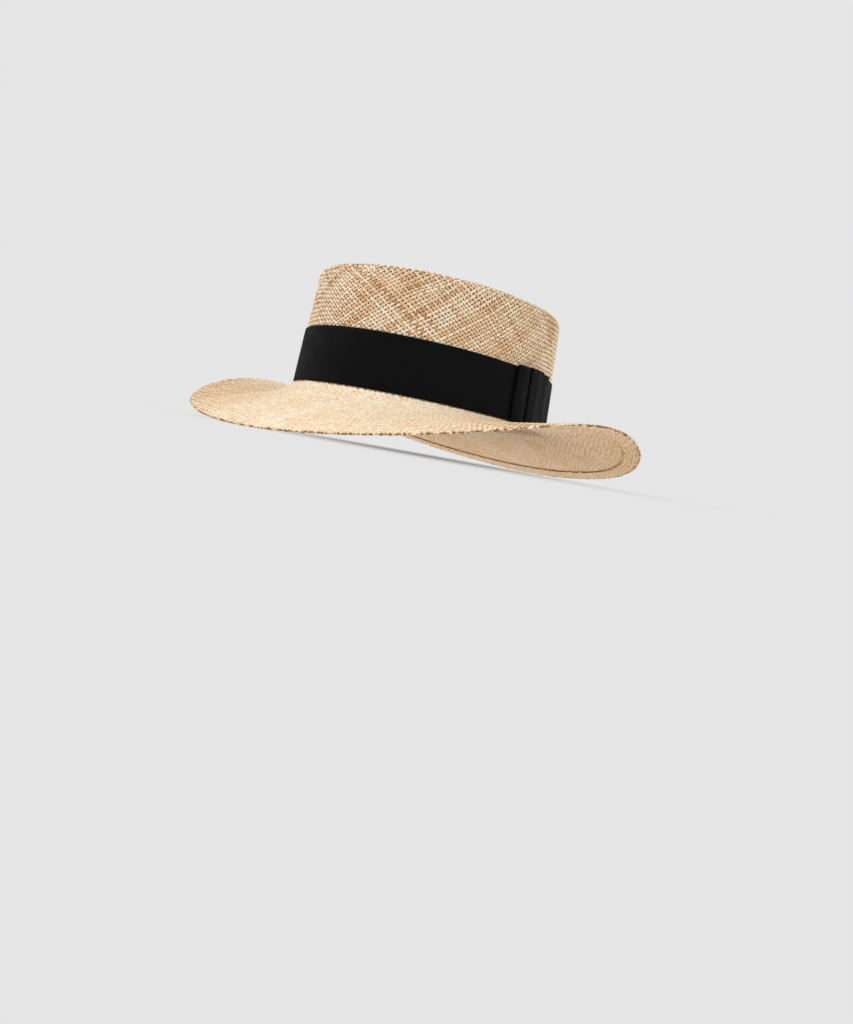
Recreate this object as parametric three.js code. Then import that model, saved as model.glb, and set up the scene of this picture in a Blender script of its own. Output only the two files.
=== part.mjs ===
// A straw hat: a flat-topped woven crown, a wide brim that dips at front and back, a ribbon band and a flat side bow.
// Millimetres, +Z up. The front of the hat faces -Y and the wearer's left side, with the bow, faces +X.
import * as THREE from "three";

// The head line is the oval where the crown meets the brim, measured over the ribbon.
const HEAD_HALF_LENGTH = 103;
const HEAD_HALF_WIDTH = 84.3;
const LENGTH_TAPER = 0.053;
const WIDTH_TAPER = 0.05;

// Woven straw.
const STRAW = 1.5;
const CROWN_HEIGHT = 81.3;
const TIP_CORNER = 6.2;
const HEM_WIDTH = 10.5;
const HEM_FOLD = 2.2;
const COLLAR_HEIGHT = 9;
const COLLAR = 1.2;

// Ribbon.
const RIBBON = 0.7;
const RIBBON_HEIGHT = 36;
const BAND_BOTTOM = 0.4;
const BOW_RIBBON = 0.6;
const BOW_BOTTOM = 1.5;
const BOW_RISE = 1;
const KNOT_TURN = 94.3;
const KNOT_WIDTH = 17;
const KNOT_PLATE = 0.8;
const KNOT_PLEAT = 0.3;
const KNOT_PLEATS = 2.5;
const SIDE_LOOP = 13.5;

// Neighbouring pieces keep this gap.
const GAP = 0.3;

// The brim is worked out from these sections, turned from the front round to the back, alike on both sides.
// turn: degrees from the front. width: along the straw. drop: the middle of the folded edge below the head line.
// dip: how far the straw hangs below a straight slope, most of it near the crown.
const BRIM_SECTIONS = [
  { turn: 0, width: 70.5, drop: 36.6, dip: 3.5 },
  { turn: 30, width: 70.5, drop: 28.8, dip: 4 },
  { turn: 60, width: 70.5, drop: 8.7, dip: 3.5 },
  { turn: 90, width: 70.5, drop: -4.8, dip: 3.5 },
  { turn: 120, width: 70.5, drop: 8.0, dip: 3 },
  { turn: 150, width: 70.4, drop: 21.7, dip: 2.5 },
  { turn: 180, width: 70.4, drop: 26.9, dip: 2.5 },
];
const DIP_SHARE = 0.25;

const STEPS_ROUND = 96;
const CORNER_STEPS = 5;
const SLOPE_LENGTH = 1.05;

const BAND_OUTSIDE = (RIBBON + GAP) / 2;
const CROWN_OUTSIDE = BAND_OUTSIDE - RIBBON - GAP;
const CROWN_INSIDE = CROWN_OUTSIDE - STRAW;
const BOW_TOP = BAND_BOTTOM + RIBBON_HEIGHT + BOW_RISE;

const straw = new THREE.MeshStandardMaterial({ color: 0xd9bf9a, roughness: 0.85, metalness: 0 });
const brimStraw = new THREE.MeshStandardMaterial({ color: 0xe6ccaa, roughness: 0.8, metalness: 0 });
const ribbon = new THREE.MeshStandardMaterial({ color: 0x151517, roughness: 0.55, metalness: 0 });
const bowRibbon = new THREE.MeshStandardMaterial({ color: 0x19191b, roughness: 0.5, metalness: 0 });

const turns = Array.from({ length: STEPS_ROUND }, (_, i) => (i / STEPS_ROUND) * 2 * Math.PI);
const sum = (values) => values.reduce((total, value) => total + value, 0);

// A point of the crown's tapered oval, at a height above the head line and pushed out by an offset.
function oval(turn, height, offset) {
  const halfLength = HEAD_HALF_LENGTH - LENGTH_TAPER * height + offset;
  const halfWidth = HEAD_HALF_WIDTH - WIDTH_TAPER * height + offset;
  return new THREE.Vector3(halfWidth * Math.sin(turn), -halfLength * Math.cos(turn), height);
}

// The direction straight out of the head line, seen from above.
function outward(turn) {
  return new THREE.Vector3(
    Math.sin(turn) / HEAD_HALF_WIDTH,
    -Math.cos(turn) / HEAD_HALF_LENGTH,
    0,
  ).normalize();
}

// A column of the brim table as a smooth even function of the turn, through every row.
function brimColumn(name) {
  const last = BRIM_SECTIONS.length - 1;
  const share = (i) => (i === 0 || i === last ? 0.5 : 1);
  const waves = BRIM_SECTIONS.map((_, k) =>
    sum(
      BRIM_SECTIONS.map(
        (row, i) => ((2 * share(i) * share(k)) / last) * row[name] * Math.cos((Math.PI * i * k) / last),
      ),
    ),
  );
  return (turn) => sum(waves.map((wave, k) => wave * Math.cos(k * turn)));
}

const brimWidth = brimColumn("width");
const brimDrop = brimColumn("drop");
const brimDip = brimColumn("dip");

// The dip's curve across the brim, 0 at both ends and about 1 at DIP_SHARE, and its slope.
const dipEnd = Math.exp(1 - 1 / DIP_SHARE) / DIP_SHARE;
const dipCurve = (share) => (share / DIP_SHARE) * Math.exp(1 - share / DIP_SHARE) - share * dipEnd;
const dipSlope = (share) => ((1 - share / DIP_SHARE) / DIP_SHARE) * Math.exp(1 - share / DIP_SHARE) - dipEnd;

// A closed solid through rings of points: each section is a closed loop, and the loops run round or end in caps.
function loft(sections, runsRound) {
  const size = sections[0].length;
  const points = sections.flat();
  const index = [];
  const bays = runsRound ? sections.length : sections.length - 1;
  for (let i = 0; i < bays; i++) {
    const here = i * size;
    const next = ((i + 1) % sections.length) * size;
    for (let j = 0; j < size; j++) {
      const k = (j + 1) % size;
      index.push(here + j, next + j, next + k, here + j, next + k, here + k);
    }
  }
  if (!runsRound) index.push(...cap(sections[0], 0, true), ...cap(sections.at(-1), points.length - size, false));
  return closedGeometry(points, index);
}

// The triangles of an end cap, turned to follow the section's own order or to run against it.
// The end lies in an upright plane, so its outline is laid flat along its own width.
function cap(section, first, follow) {
  const widest = section.reduce((a, b) => (a.distanceTo(section[0]) < b.distanceTo(section[0]) ? b : a));
  const along = widest.clone().sub(section[0]).setZ(0).normalize();
  const outline = section.map((p) => new THREE.Vector2(p.dot(along), p.z));
  const order = Math.sign(THREE.ShapeUtils.area(outline)) * (follow ? 1 : -1);
  const faces = THREE.ShapeUtils.triangulateShape(outline, []);
  return faces.flatMap(([a, b, c]) => {
    const facing = Math.sign(THREE.ShapeUtils.area([outline[a], outline[b], outline[c]]));
    return (facing === order ? [a, b, c] : [a, c, b]).map((i) => first + i);
  });
}

// A cup: rings of points from its outer middle, round the rim, to its inner middle.
function cup(outerMiddle, rings, innerMiddle) {
  const size = rings[0].length;
  const points = [...rings.flat(), outerMiddle, innerMiddle];
  const outer = points.length - 2;
  const inner = points.length - 1;
  const lastRing = (rings.length - 1) * size;
  const index = [];
  for (let j = 0; j < size; j++) {
    const k = (j + 1) % size;
    index.push(outer, j, k, inner, lastRing + k, lastRing + j);
    for (let here = 0; here < lastRing; here += size) {
      const next = here + size;
      index.push(here + j, next + j, next + k, here + j, next + k, here + k);
    }
  }
  return closedGeometry(points, index);
}

// An indexed geometry whose faces point out.
function closedGeometry(points, index) {
  let volume = 0;
  for (let i = 0; i < index.length; i += 3) {
    const [a, b, c] = [points[index[i]], points[index[i + 1]], points[index[i + 2]]];
    volume += a.dot(b.clone().cross(c)) / 6;
  }
  const facing = volume < 0 ? index.toReversed() : index;
  const geometry = new THREE.BufferGeometry().setFromPoints(points).setIndex(facing);
  geometry.computeVertexNormals();
  return geometry;
}

// The hat stands on its lowest points at front and back, so the head line leans by this slope.
function restSlope() {
  const [front, back] = [0, Math.PI].map((turn) => brimSection(turn).reduce((a, b) => (b.z < a.z ? b : a)));
  return (back.z - front.z) / (back.y - front.y);
}

// The brim cut straight out from the head line: upper face, folded edge, hem, under face and the collar inside the crown.
function brimSection(turn) {
  const root = oval(turn, 0, 0);
  const out = outward(turn);
  const width = brimWidth(turn);
  const drop = brimDrop(turn);
  const dip = brimDip(turn);
  const reach = Math.sqrt(width ** 2 - (SLOPE_LENGTH * drop) ** 2);
  const fall = drop - HEM_FOLD / 2;
  const place = (r, z) => root.clone().addScaledVector(out, r).setZ(z);

  // A point at a share of the reach, moved out along the slope and up off the upper face.
  const at = (share, along, up) => {
    const slope = new THREE.Vector2(reach, -fall - dip * dipSlope(share)).normalize();
    const r = reach * share + slope.x * along - slope.y * up;
    const z = -fall * share - dip * dipCurve(share) + slope.y * along + slope.x * up;
    return place(r, z);
  };
  const edge = 1 - HEM_FOLD / 2 / reach;
  const hem = 1 - HEM_WIDTH / width;
  const upperFace = [0, 0.08, 0.2, 0.35, 0.5, 0.65, 0.8, 0.92, edge];
  const underFace = [hem, 0.65, 0.5, 0.35, 0.2, 0.08];
  const radius = HEM_FOLD / 2;
  const fold = [1, 2, 3, 4].map((i) => {
    const angle = (i * Math.PI) / 4;
    return at(edge, radius * Math.sin(angle), radius * Math.cos(angle) - radius);
  });

  const collarOut = CROWN_INSIDE - GAP;
  const collarIn = collarOut - COLLAR;
  const lean = LENGTH_TAPER * COLLAR_HEIGHT;
  const collar = [
    place(collarOut + COLLAR / 2, -STRAW),
    place(collarIn + COLLAR / 3, -STRAW / 2),
    place(collarIn, STRAW / 2),
    place(collarIn - lean, COLLAR_HEIGHT),
    place(collarOut - lean, COLLAR_HEIGHT),
    place(collarOut, 0),
  ];
  return [
    ...upperFace.map((share) => at(share, 0, 0)),
    ...fold,
    at(hem, 0, -HEM_FOLD),
    ...underFace.map((share) => at(share, 0, -STRAW)),
    ...collar,
  ];
}

function makeBrim() {
  return loft(turns.map(brimSection), true);
}

// The crown's side leans in to a flat tip with a rounded corner. The tip is level when the hat stands on its brim.
function makeCrown(tipSlope) {
  const ring = (height, offset, leans) =>
    turns.map((turn) => {
      const point = oval(turn, height, offset);
      if (leans) point.z += tipSlope * point.y;
      return point;
    });
  const corner = (outside, top, radius) =>
    Array.from({ length: CORNER_STEPS + 1 }, (_, i) => {
      const angle = (1 - i / CORNER_STEPS) * (Math.PI / 2);
      const inset = radius * (1 - Math.cos(angle));
      return ring(top - radius + radius * Math.sin(angle), outside - inset, true);
    });
  const innerTop = CROWN_HEIGHT - STRAW;
  const rings = [
    ...corner(CROWN_OUTSIDE, CROWN_HEIGHT, TIP_CORNER),
    ring(GAP, CROWN_OUTSIDE, false),
    ring(GAP, CROWN_INSIDE, false),
    ...corner(CROWN_INSIDE, innerTop, TIP_CORNER - STRAW).toReversed(),
  ];
  return cup(new THREE.Vector3(0, 0, CROWN_HEIGHT), rings, new THREE.Vector3(0, 0, innerTop));
}

// The ribbon round the foot of the crown, with its edges eased.
function makeBand() {
  const top = BAND_BOTTOM + RIBBON_HEIGHT;
  const inside = BAND_OUTSIDE - RIBBON;
  const ease = RIBBON / 3;
  const sections = turns.map((turn) => [
    oval(turn, BAND_BOTTOM, inside),
    oval(turn, BAND_BOTTOM, BAND_OUTSIDE - ease),
    oval(turn, BAND_BOTTOM + ease, BAND_OUTSIDE),
    oval(turn, top - ease, BAND_OUTSIDE),
    oval(turn, top, BAND_OUTSIDE - ease),
    oval(turn, top, inside),
  ]);
  return loft(sections, true);
}

// A point of the bow: along the band from the middle of the knot, and off the band's face.
function onBow(along, height, off) {
  const middle = THREE.MathUtils.degToRad(KNOT_TURN);
  const rate = Math.hypot(HEAD_HALF_WIDTH * Math.cos(middle), HEAD_HALF_LENGTH * Math.sin(middle));
  return oval(middle + along / rate, height, BAND_OUTSIDE + off);
}

const INNER_LEG = GAP + BOW_RIBBON / 2;
const PINCHED_LEG = INNER_LEG + 1.3;
const LOOP_BELLY = 0.7;

// How far the bow's outer leg stands off the band: pinched under the knot and full in the middle of each loop.
function outerLeg(along) {
  const past = Math.abs(along) - KNOT_WIDTH / 2;
  if (past <= 0) return PINCHED_LEG;
  return PINCHED_LEG + LOOP_BELLY * Math.sin((Math.PI * past) / SIDE_LOOP);
}

// The bow's ribbon runs back along the band, folds, and comes forward over itself to a second fold.
function makeBowLoop() {
  const foldRadius = (PINCHED_LEG - INNER_LEG) / 2;
  const back = KNOT_WIDTH / 2 + SIDE_LOOP - foldRadius;
  const front = -back;
  const steps = 24;
  const alongs = Array.from({ length: steps + 1 }, (_, i) => front + ((back - front) * i) / steps);
  const fold = (end, way) =>
    [1, 2, 3].map((i) => {
      const angle = (i * Math.PI) / 4;
      const rise = INNER_LEG + foldRadius * (1 - way * Math.cos(angle));
      return new THREE.Vector2(end + way * foldRadius * Math.sin(angle), rise);
    });
  const path = [
    ...alongs.map((along) => new THREE.Vector2(along, INNER_LEG)),
    ...fold(back, 1),
    ...alongs.toReversed().map((along) => new THREE.Vector2(along, outerLeg(along))),
    ...fold(front, -1),
  ];
  const half = BOW_RIBBON / 2;
  const sections = path.map((point, i) => {
    const before = path.at(i - 1);
    const after = path[(i + 1) % path.length];
    const side = after.clone().sub(before).normalize().rotateAround(new THREE.Vector2(), Math.PI / 2);
    const near = point.clone().addScaledVector(side, -half);
    const far = point.clone().addScaledVector(side, half);
    return [
      onBow(near.x, BOW_BOTTOM, near.y),
      onBow(far.x, BOW_BOTTOM, far.y),
      onBow(far.x, BOW_TOP, far.y),
      onBow(near.x, BOW_TOP, near.y),
    ];
  });
  return loft(sections, true);
}

// The knot is a pleated strip over the middle of the bow, turned in over its top and under its foot.
function makeBowKnot() {
  const inside = PINCHED_LEG + BOW_RIBBON / 2 + GAP;
  const lip = 0.7;
  const low = BOW_BOTTOM - GAP;
  const high = BOW_TOP + GAP;
  const tucked = -RIBBON;
  const steps = 20;
  const sections = Array.from({ length: steps + 1 }, (_, i) => {
    const along = KNOT_WIDTH * (i / steps - 0.5);
    const pleat = KNOT_PLEAT * Math.cos((2 * Math.PI * KNOT_PLEATS * i) / steps);
    const outside = inside + KNOT_PLATE + pleat;
    return [
      onBow(along, low, GAP),
      onBow(along, low - lip, GAP),
      onBow(along, low - lip, outside),
      onBow(along, high + lip, outside),
      onBow(along, high + lip, tucked),
      onBow(along, high, tucked),
      onBow(along, high, inside),
      onBow(along, low, inside),
    ];
  });
  return loft(sections, false);
}

function piece(name, geometry, material) {
  const mesh = new THREE.Mesh(geometry, material);
  mesh.name = name;
  return mesh;
}

const slope = restSlope();
const hat = new THREE.Group();
hat.add(piece("crown", makeCrown(slope), straw));
hat.add(piece("brim", makeBrim(), brimStraw));
hat.add(piece("hat_band", makeBand(), ribbon));
hat.add(piece("bow_loop", makeBowLoop(), bowRibbon));
hat.add(piece("bow_knot", makeBowKnot(), bowRibbon));
hat.rotation.x = -Math.atan(slope);

// The origin is on the surface that the hat stands on, under the middle of its box.
const box = new THREE.Box3().setFromObject(hat, true);
hat.position.set(0, -(box.min.y + box.max.y) / 2, -box.min.z);

const part = new THREE.Group();
part.add(hat);
export default part;
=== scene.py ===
"""A woven straw hat with a ribbon band and a flat side bow, dressed over its fixed solids.

Sizes are millimetres in the hat's own frame, whose head line lies at height 0, until a mesh is made.
The turn is an angle round the crown, from the front of the hat towards the wearer's left.
"""

import logging
import math
from abc import ABC, abstractmethod
from dataclasses import dataclass
from enum import Enum
from typing import Any, ClassVar, Iterator

import bpy
import numpy as np
from mathutils import Matrix, Vector


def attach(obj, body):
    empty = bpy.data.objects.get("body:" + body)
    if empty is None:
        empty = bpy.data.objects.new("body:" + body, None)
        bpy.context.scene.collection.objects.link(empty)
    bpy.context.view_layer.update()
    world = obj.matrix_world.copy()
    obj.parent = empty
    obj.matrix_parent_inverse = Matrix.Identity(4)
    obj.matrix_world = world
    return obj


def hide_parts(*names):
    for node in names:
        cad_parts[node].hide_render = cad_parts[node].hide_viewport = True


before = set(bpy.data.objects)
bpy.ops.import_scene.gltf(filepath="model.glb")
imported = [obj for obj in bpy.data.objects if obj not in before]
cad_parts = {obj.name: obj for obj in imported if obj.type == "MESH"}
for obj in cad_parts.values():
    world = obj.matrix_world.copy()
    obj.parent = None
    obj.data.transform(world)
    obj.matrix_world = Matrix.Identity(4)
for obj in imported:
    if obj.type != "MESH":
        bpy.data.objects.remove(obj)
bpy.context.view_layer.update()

Array = np.ndarray
Triple = tuple[float, float, float]
Colour = Triple
Range = tuple[float, float]

MM = 0.001
BODY = "root"
BAKE_MAP = "OFBake"
STRAW_TONE = "straw_tone"
STRAW_RUN = "straw_run"
RIBBON_RUN = "ribbon_run"
FLOOR_GLOW = "floor_glow"
OVAL_STEPS = 2001
NEAREST_ROUNDS = 8

log = logging.getLogger("straw_hat")


def unit(vectors: Array) -> Array:
    """Scales each vector to length 1."""
    return vectors / np.maximum(np.linalg.norm(vectors, axis=-1, keepdims=True), 1e-12)


def eased(share: Array) -> Array:
    """Eases shares between 0 and 1, so that they start and end gently."""
    return share * share * (3 - 2 * share)


def distances(line: Array) -> Array:
    """Gives how far along a line of points each of them lies."""
    steps = np.linalg.norm(np.diff(line, axis=0), axis=1)
    return np.concatenate([[0.0], np.cumsum(steps)])


def linear(red: int, green: int, blue: int) -> Colour:
    """Turns a colour of the screen into the renderer's own scale, by the usual curve of screens.

    Args:
        red: its red, from 0 to 255.
        green: its green.
        blue: its blue.

    Returns:
        The colour, with values from 0 to 1.
    """
    shares = np.array([red, green, blue]) / 255
    curve = np.where(shares > 0.04045, ((shares + 0.055) / 1.055) ** 2.4, shares / 12.92)
    return tuple(curve.tolist())


def oval_normal(turn: Array, half_width: float, half_length: float) -> Array:
    """Gives the level direction straight out of an oval at each turn."""
    level = [np.sin(turn) / half_width, -np.cos(turn) / half_length, np.zeros_like(turn)]
    return unit(np.stack(level, axis=-1))


def even_turn(share: Array, half_width: float, half_length: float) -> Array:
    """Gives the turns of places that are evenly spaced round an oval.

    Args:
        share: places in full turns, from the front.
        half_width: the oval's half size in x.
        half_length: the oval's half size in y.

    Returns:
        The turns.
    """
    turn = np.linspace(0, math.tau, OVAL_STEPS)
    rate = np.hypot(half_width * np.cos(turn), half_length * np.sin(turn))
    far = np.concatenate([[0.0], np.cumsum(rate[1:] + rate[:-1])])
    whole = np.floor(share)
    return np.interp(share - whole, far / far[-1], turn) + math.tau * whole


def oval_coordinates(x: Array, y: Array, half_width: float, half_length: float) -> tuple[Array, Array]:
    """Finds each point's nearest place on an oval.

    Args:
        x: places to the wearer's left.
        y: places to the back.
        half_width: the oval's half size in x.
        half_length: the oval's half size in y.

    Returns:
        The turn of the nearest place, and how far the point lies outside the oval.
    """
    turn = np.arctan2(x * half_length, -y * half_width)
    for _ in range(NEAREST_ROUNDS):
        sin, cos = np.sin(turn), np.cos(turn)
        off_x, off_y = x - half_width * sin, y + half_length * cos
        slope = off_x * half_width * cos + off_y * half_length * sin
        bend = off_y * half_length * cos - off_x * half_width * sin
        bend -= (half_width * cos) ** 2 + (half_length * sin) ** 2
        turn = turn - slope / np.where(np.abs(bend) < 1.0, -1.0, bend)
    normal = oval_normal(turn, half_width, half_length)
    off_x, off_y = x - half_width * np.sin(turn), y + half_length * np.cos(turn)
    return turn, off_x * normal[..., 0] + off_y * normal[..., 1]


class Drift:
    """A smooth random value along a distance, between -1 and 1."""

    def __init__(self, rng: np.random.Generator, reach: float, wave: float) -> None:
        """Draws the values that the curve passes through.

        Args:
            rng: the seeded source.
            reach: the curve is used from -reach to reach.
            wave: the distance between drawn values.
        """
        self.reach = reach
        self.wave = wave
        self.knots = rng.uniform(-1, 1, int(2 * reach / wave) + 3)

    def __call__(self, distance: Array) -> Array:
        """Reads the curve.

        Args:
            distance: where it is read.

        Returns:
            The value at each distance.
        """
        place = (np.clip(distance, -self.reach, self.reach) + self.reach) / self.wave
        low = place.astype(int)
        share = eased(place - low)
        return self.knots[low] * (1 - share) + self.knots[low + 1] * share


class Blotch:
    """Broad uneven patches over a body, mostly between -1 and 1."""

    # how many waves there are, and their lengths as shares of the usual one
    COUNT = 12
    LENGTHS = (0.6, 1.6)

    def __init__(self, rng: np.random.Generator, wave: float) -> None:
        """Draws the waves that the patches are the sum of.

        Args:
            rng: the seeded source.
            wave: the usual distance between patches.
        """
        lengths = wave * rng.uniform(*self.LENGTHS, (self.COUNT, 1))
        self.waves = unit(rng.normal(size=(self.COUNT, 3))) * math.tau / lengths
        self.phases = rng.uniform(0, math.tau, self.COUNT)

    def __call__(self, points: Array) -> Array:
        """Reads the patches at each point."""
        return np.cos(points @ self.waves.T + self.phases).sum(axis=-1) / math.sqrt(self.COUNT)


@dataclass(frozen=True)
class HatForm:
    """The sizes that the pieces share, and the hat's place on the floor.

    Attributes:
        half_length: half the length of the crown's oval at the head line.
        half_width: half its width there.
        length_taper: how much half the length loses for each millimetre of height.
        width_taper: how much half the width loses.
        lean: how far the head line is tipped to the back when the hat stands on its brim.
        shift: the way from the hat's frame to the part's, after it is tipped.
    """

    half_length: float = 103.0
    half_width: float = 84.3
    length_taper: float = 0.053
    width_taper: float = 0.05
    lean: float = math.radians(1.6589)
    shift: Triple = (0.0, -1.850, 32.242)

    def oval(self, turn: Array, height: Array | float, offset: Array | float) -> Array:
        """Gives points of the crown's tapered oval.

        Args:
            turn: angles round the crown.
            height: heights above the head line.
            offset: how far each point stands outside the oval.

        Returns:
            The points in the hat's frame.
        """
        turn, height, offset = np.broadcast_arrays(turn, height, offset)
        half_width = self.half_width - self.width_taper * height + offset
        half_length = self.half_length - self.length_taper * height + offset
        return np.stack([half_width * np.sin(turn), -half_length * np.cos(turn), height], axis=-1)

    def place(self, points: Array) -> Array:
        """Moves points from the hat's frame to the part's.

        Args:
            points: places in the hat's frame.

        Returns:
            The places in the part's frame, in metres.
        """
        cos, sin = math.cos(self.lean), math.sin(self.lean)
        x, y, z = points[..., 0], points[..., 1], points[..., 2]
        turned = np.stack([x, y * cos + z * sin, z * cos - y * sin], axis=-1)
        return (turned + np.array(self.shift)) * MM


FORM = HatForm()


def make_object(
    name: str, points: Array, faces: list[Array], uv: Array, smooth: bool = True
) -> bpy.types.Object:
    """Makes a mesh object from arrays, pressed flat where it meets the floor.

    Args:
        name: the piece's name.
        points: its points in the hat's frame.
        faces: groups of faces, each an array of one row per face.
        uv: a place on the bake's map for each corner of each face, in order.
        smooth: whether its faces are shaded as one smooth face.

    Returns:
        The object, linked to the scene.
    """
    mesh = bpy.data.meshes.new(name)
    rows = [row for group in faces for row in group.tolist()]
    placed = FORM.place(points)
    placed[:, 2] = np.maximum(placed[:, 2], 0.0)
    mesh.from_pydata(placed.tolist(), [], rows)
    if smooth:
        mesh.shade_smooth()
    layer = mesh.uv_layers.new(name=BAKE_MAP)
    layer.data.foreach_set("uv", np.ascontiguousarray(uv, dtype=np.float32).ravel())
    made = bpy.data.objects.new(name, mesh)
    bpy.context.scene.collection.objects.link(made)
    return made


def set_values(made: bpy.types.Object, name: str, values: Array) -> None:
    """Stores a number or a vector for each point of a mesh.

    Args:
        made: the object that has the mesh.
        name: the name that the values are read by.
        values: a number for each point, or a row of three.
    """
    key, kind = ("vector", "FLOAT_VECTOR") if values.ndim == 2 else ("value", "FLOAT")
    layer = made.data.attributes.new(name, kind, "POINT")
    layer.data.foreach_set(key, np.ascontiguousarray(values, dtype=np.float32).ravel())


def cell_maps(across: Array, up: Array) -> Array:
    """Lays the cells of a grid out on the bake's map.

    Args:
        across: the grid's lines from left to right.
        up: its lines from bottom to top.

    Returns:
        A place for each corner of each cell, in the order of the faces' corners.
    """
    left, low = np.meshgrid(across[:-1], up[:-1], indexing="ij")
    right, high = np.meshgrid(across[1:], up[1:], indexing="ij")
    corners = [(left, low), (right, low), (right, high), (left, high)]
    return np.stack([np.stack(pair, axis=-1) for pair in corners], axis=2).reshape(-1, 2)


def cap_map(left: float, breadth: float, up: Array) -> Array:
    """Lays an end cap out on the bake's map, as a narrow zigzag from left that climbs with up."""
    fan = (np.arange(len(up)) % 2) * breadth
    return np.stack([left + fan, up], axis=-1)


class Assembly:
    """A part of the hat, which builds its pieces and dresses them."""

    SLOT: ClassVar[str]

    def dress(
        self, made: bpy.types.Object, material: bpy.types.Material, *nodes: str
    ) -> bpy.types.Object:
        """Gives a piece its material, and joins it to the frame.

        Args:
            made: the piece.
            material: its material.
            nodes: the solids that it stands for.

        Returns:
            The piece.
        """
        made.data.materials.append(material)
        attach(made, BODY)
        if nodes:
            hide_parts(*nodes)
        log.info("%s: %d faces", made.name, len(made.data.polygons))
        return made


class Family(Enum):
    """The two ways that strands run through a weave; in the round, with the turn or against it."""

    WARP = 1
    WEFT = -1

    @property
    def other(self) -> "Family":
        """Gives the family that crosses this one."""
        return Family(-self.value)


class Profile(Enum):
    """The sections that strands are made with: places across and up, as shares of half their size."""

    ROLLED = ((-1.0, 0.0), (-0.5, 0.85), (0.5, 0.85), (1.0, 0.0), (0.0, -0.9))
    FLAT = ((-1.0, -0.9), (-1.0, 0.9), (1.0, 0.9), (1.0, -0.9))


@dataclass(frozen=True)
class WeaveStyle:
    """How a body of straw is woven.

    Attributes:
        profile: the strands' section.
        pitch: the usual distance between strands.
        cover: a strand's width, as a share of its room.
        rise: how far a strand moves out to pass over another, and in to pass under it.
        half_thick: half a strand's thickness.
        wander: how far a strand sways to its sides.
        uneven: how much the strands differ in breadth.
        patch: the usual distance between patches of darker straw.
        cloud: how dark those patches are.
        spread: how much the strands differ in tone.
        fleck: how strong the short flecks along a strand are.
        dusk: how much painted shade darkens the faces that look down.
        inner: how much painted shade darkens the strands' inner faces.
        seed: what the random values are drawn from.
    """

    profile: Profile
    pitch: float
    cover: float
    rise: float
    half_thick: float
    wander: float
    uneven: float
    patch: float
    cloud: float
    spread: float
    fleck: float
    dusk: float
    inner: float
    seed: int

    BREADTHS: ClassVar[Range] = (-0.45, 0.6)

    def breadths(self, rng: np.random.Generator, count: int) -> Array:
        """Draws how much broader or narrower than usual each strand is."""
        return np.clip(rng.normal(0, self.uneven, count), *self.BREADTHS)


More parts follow.
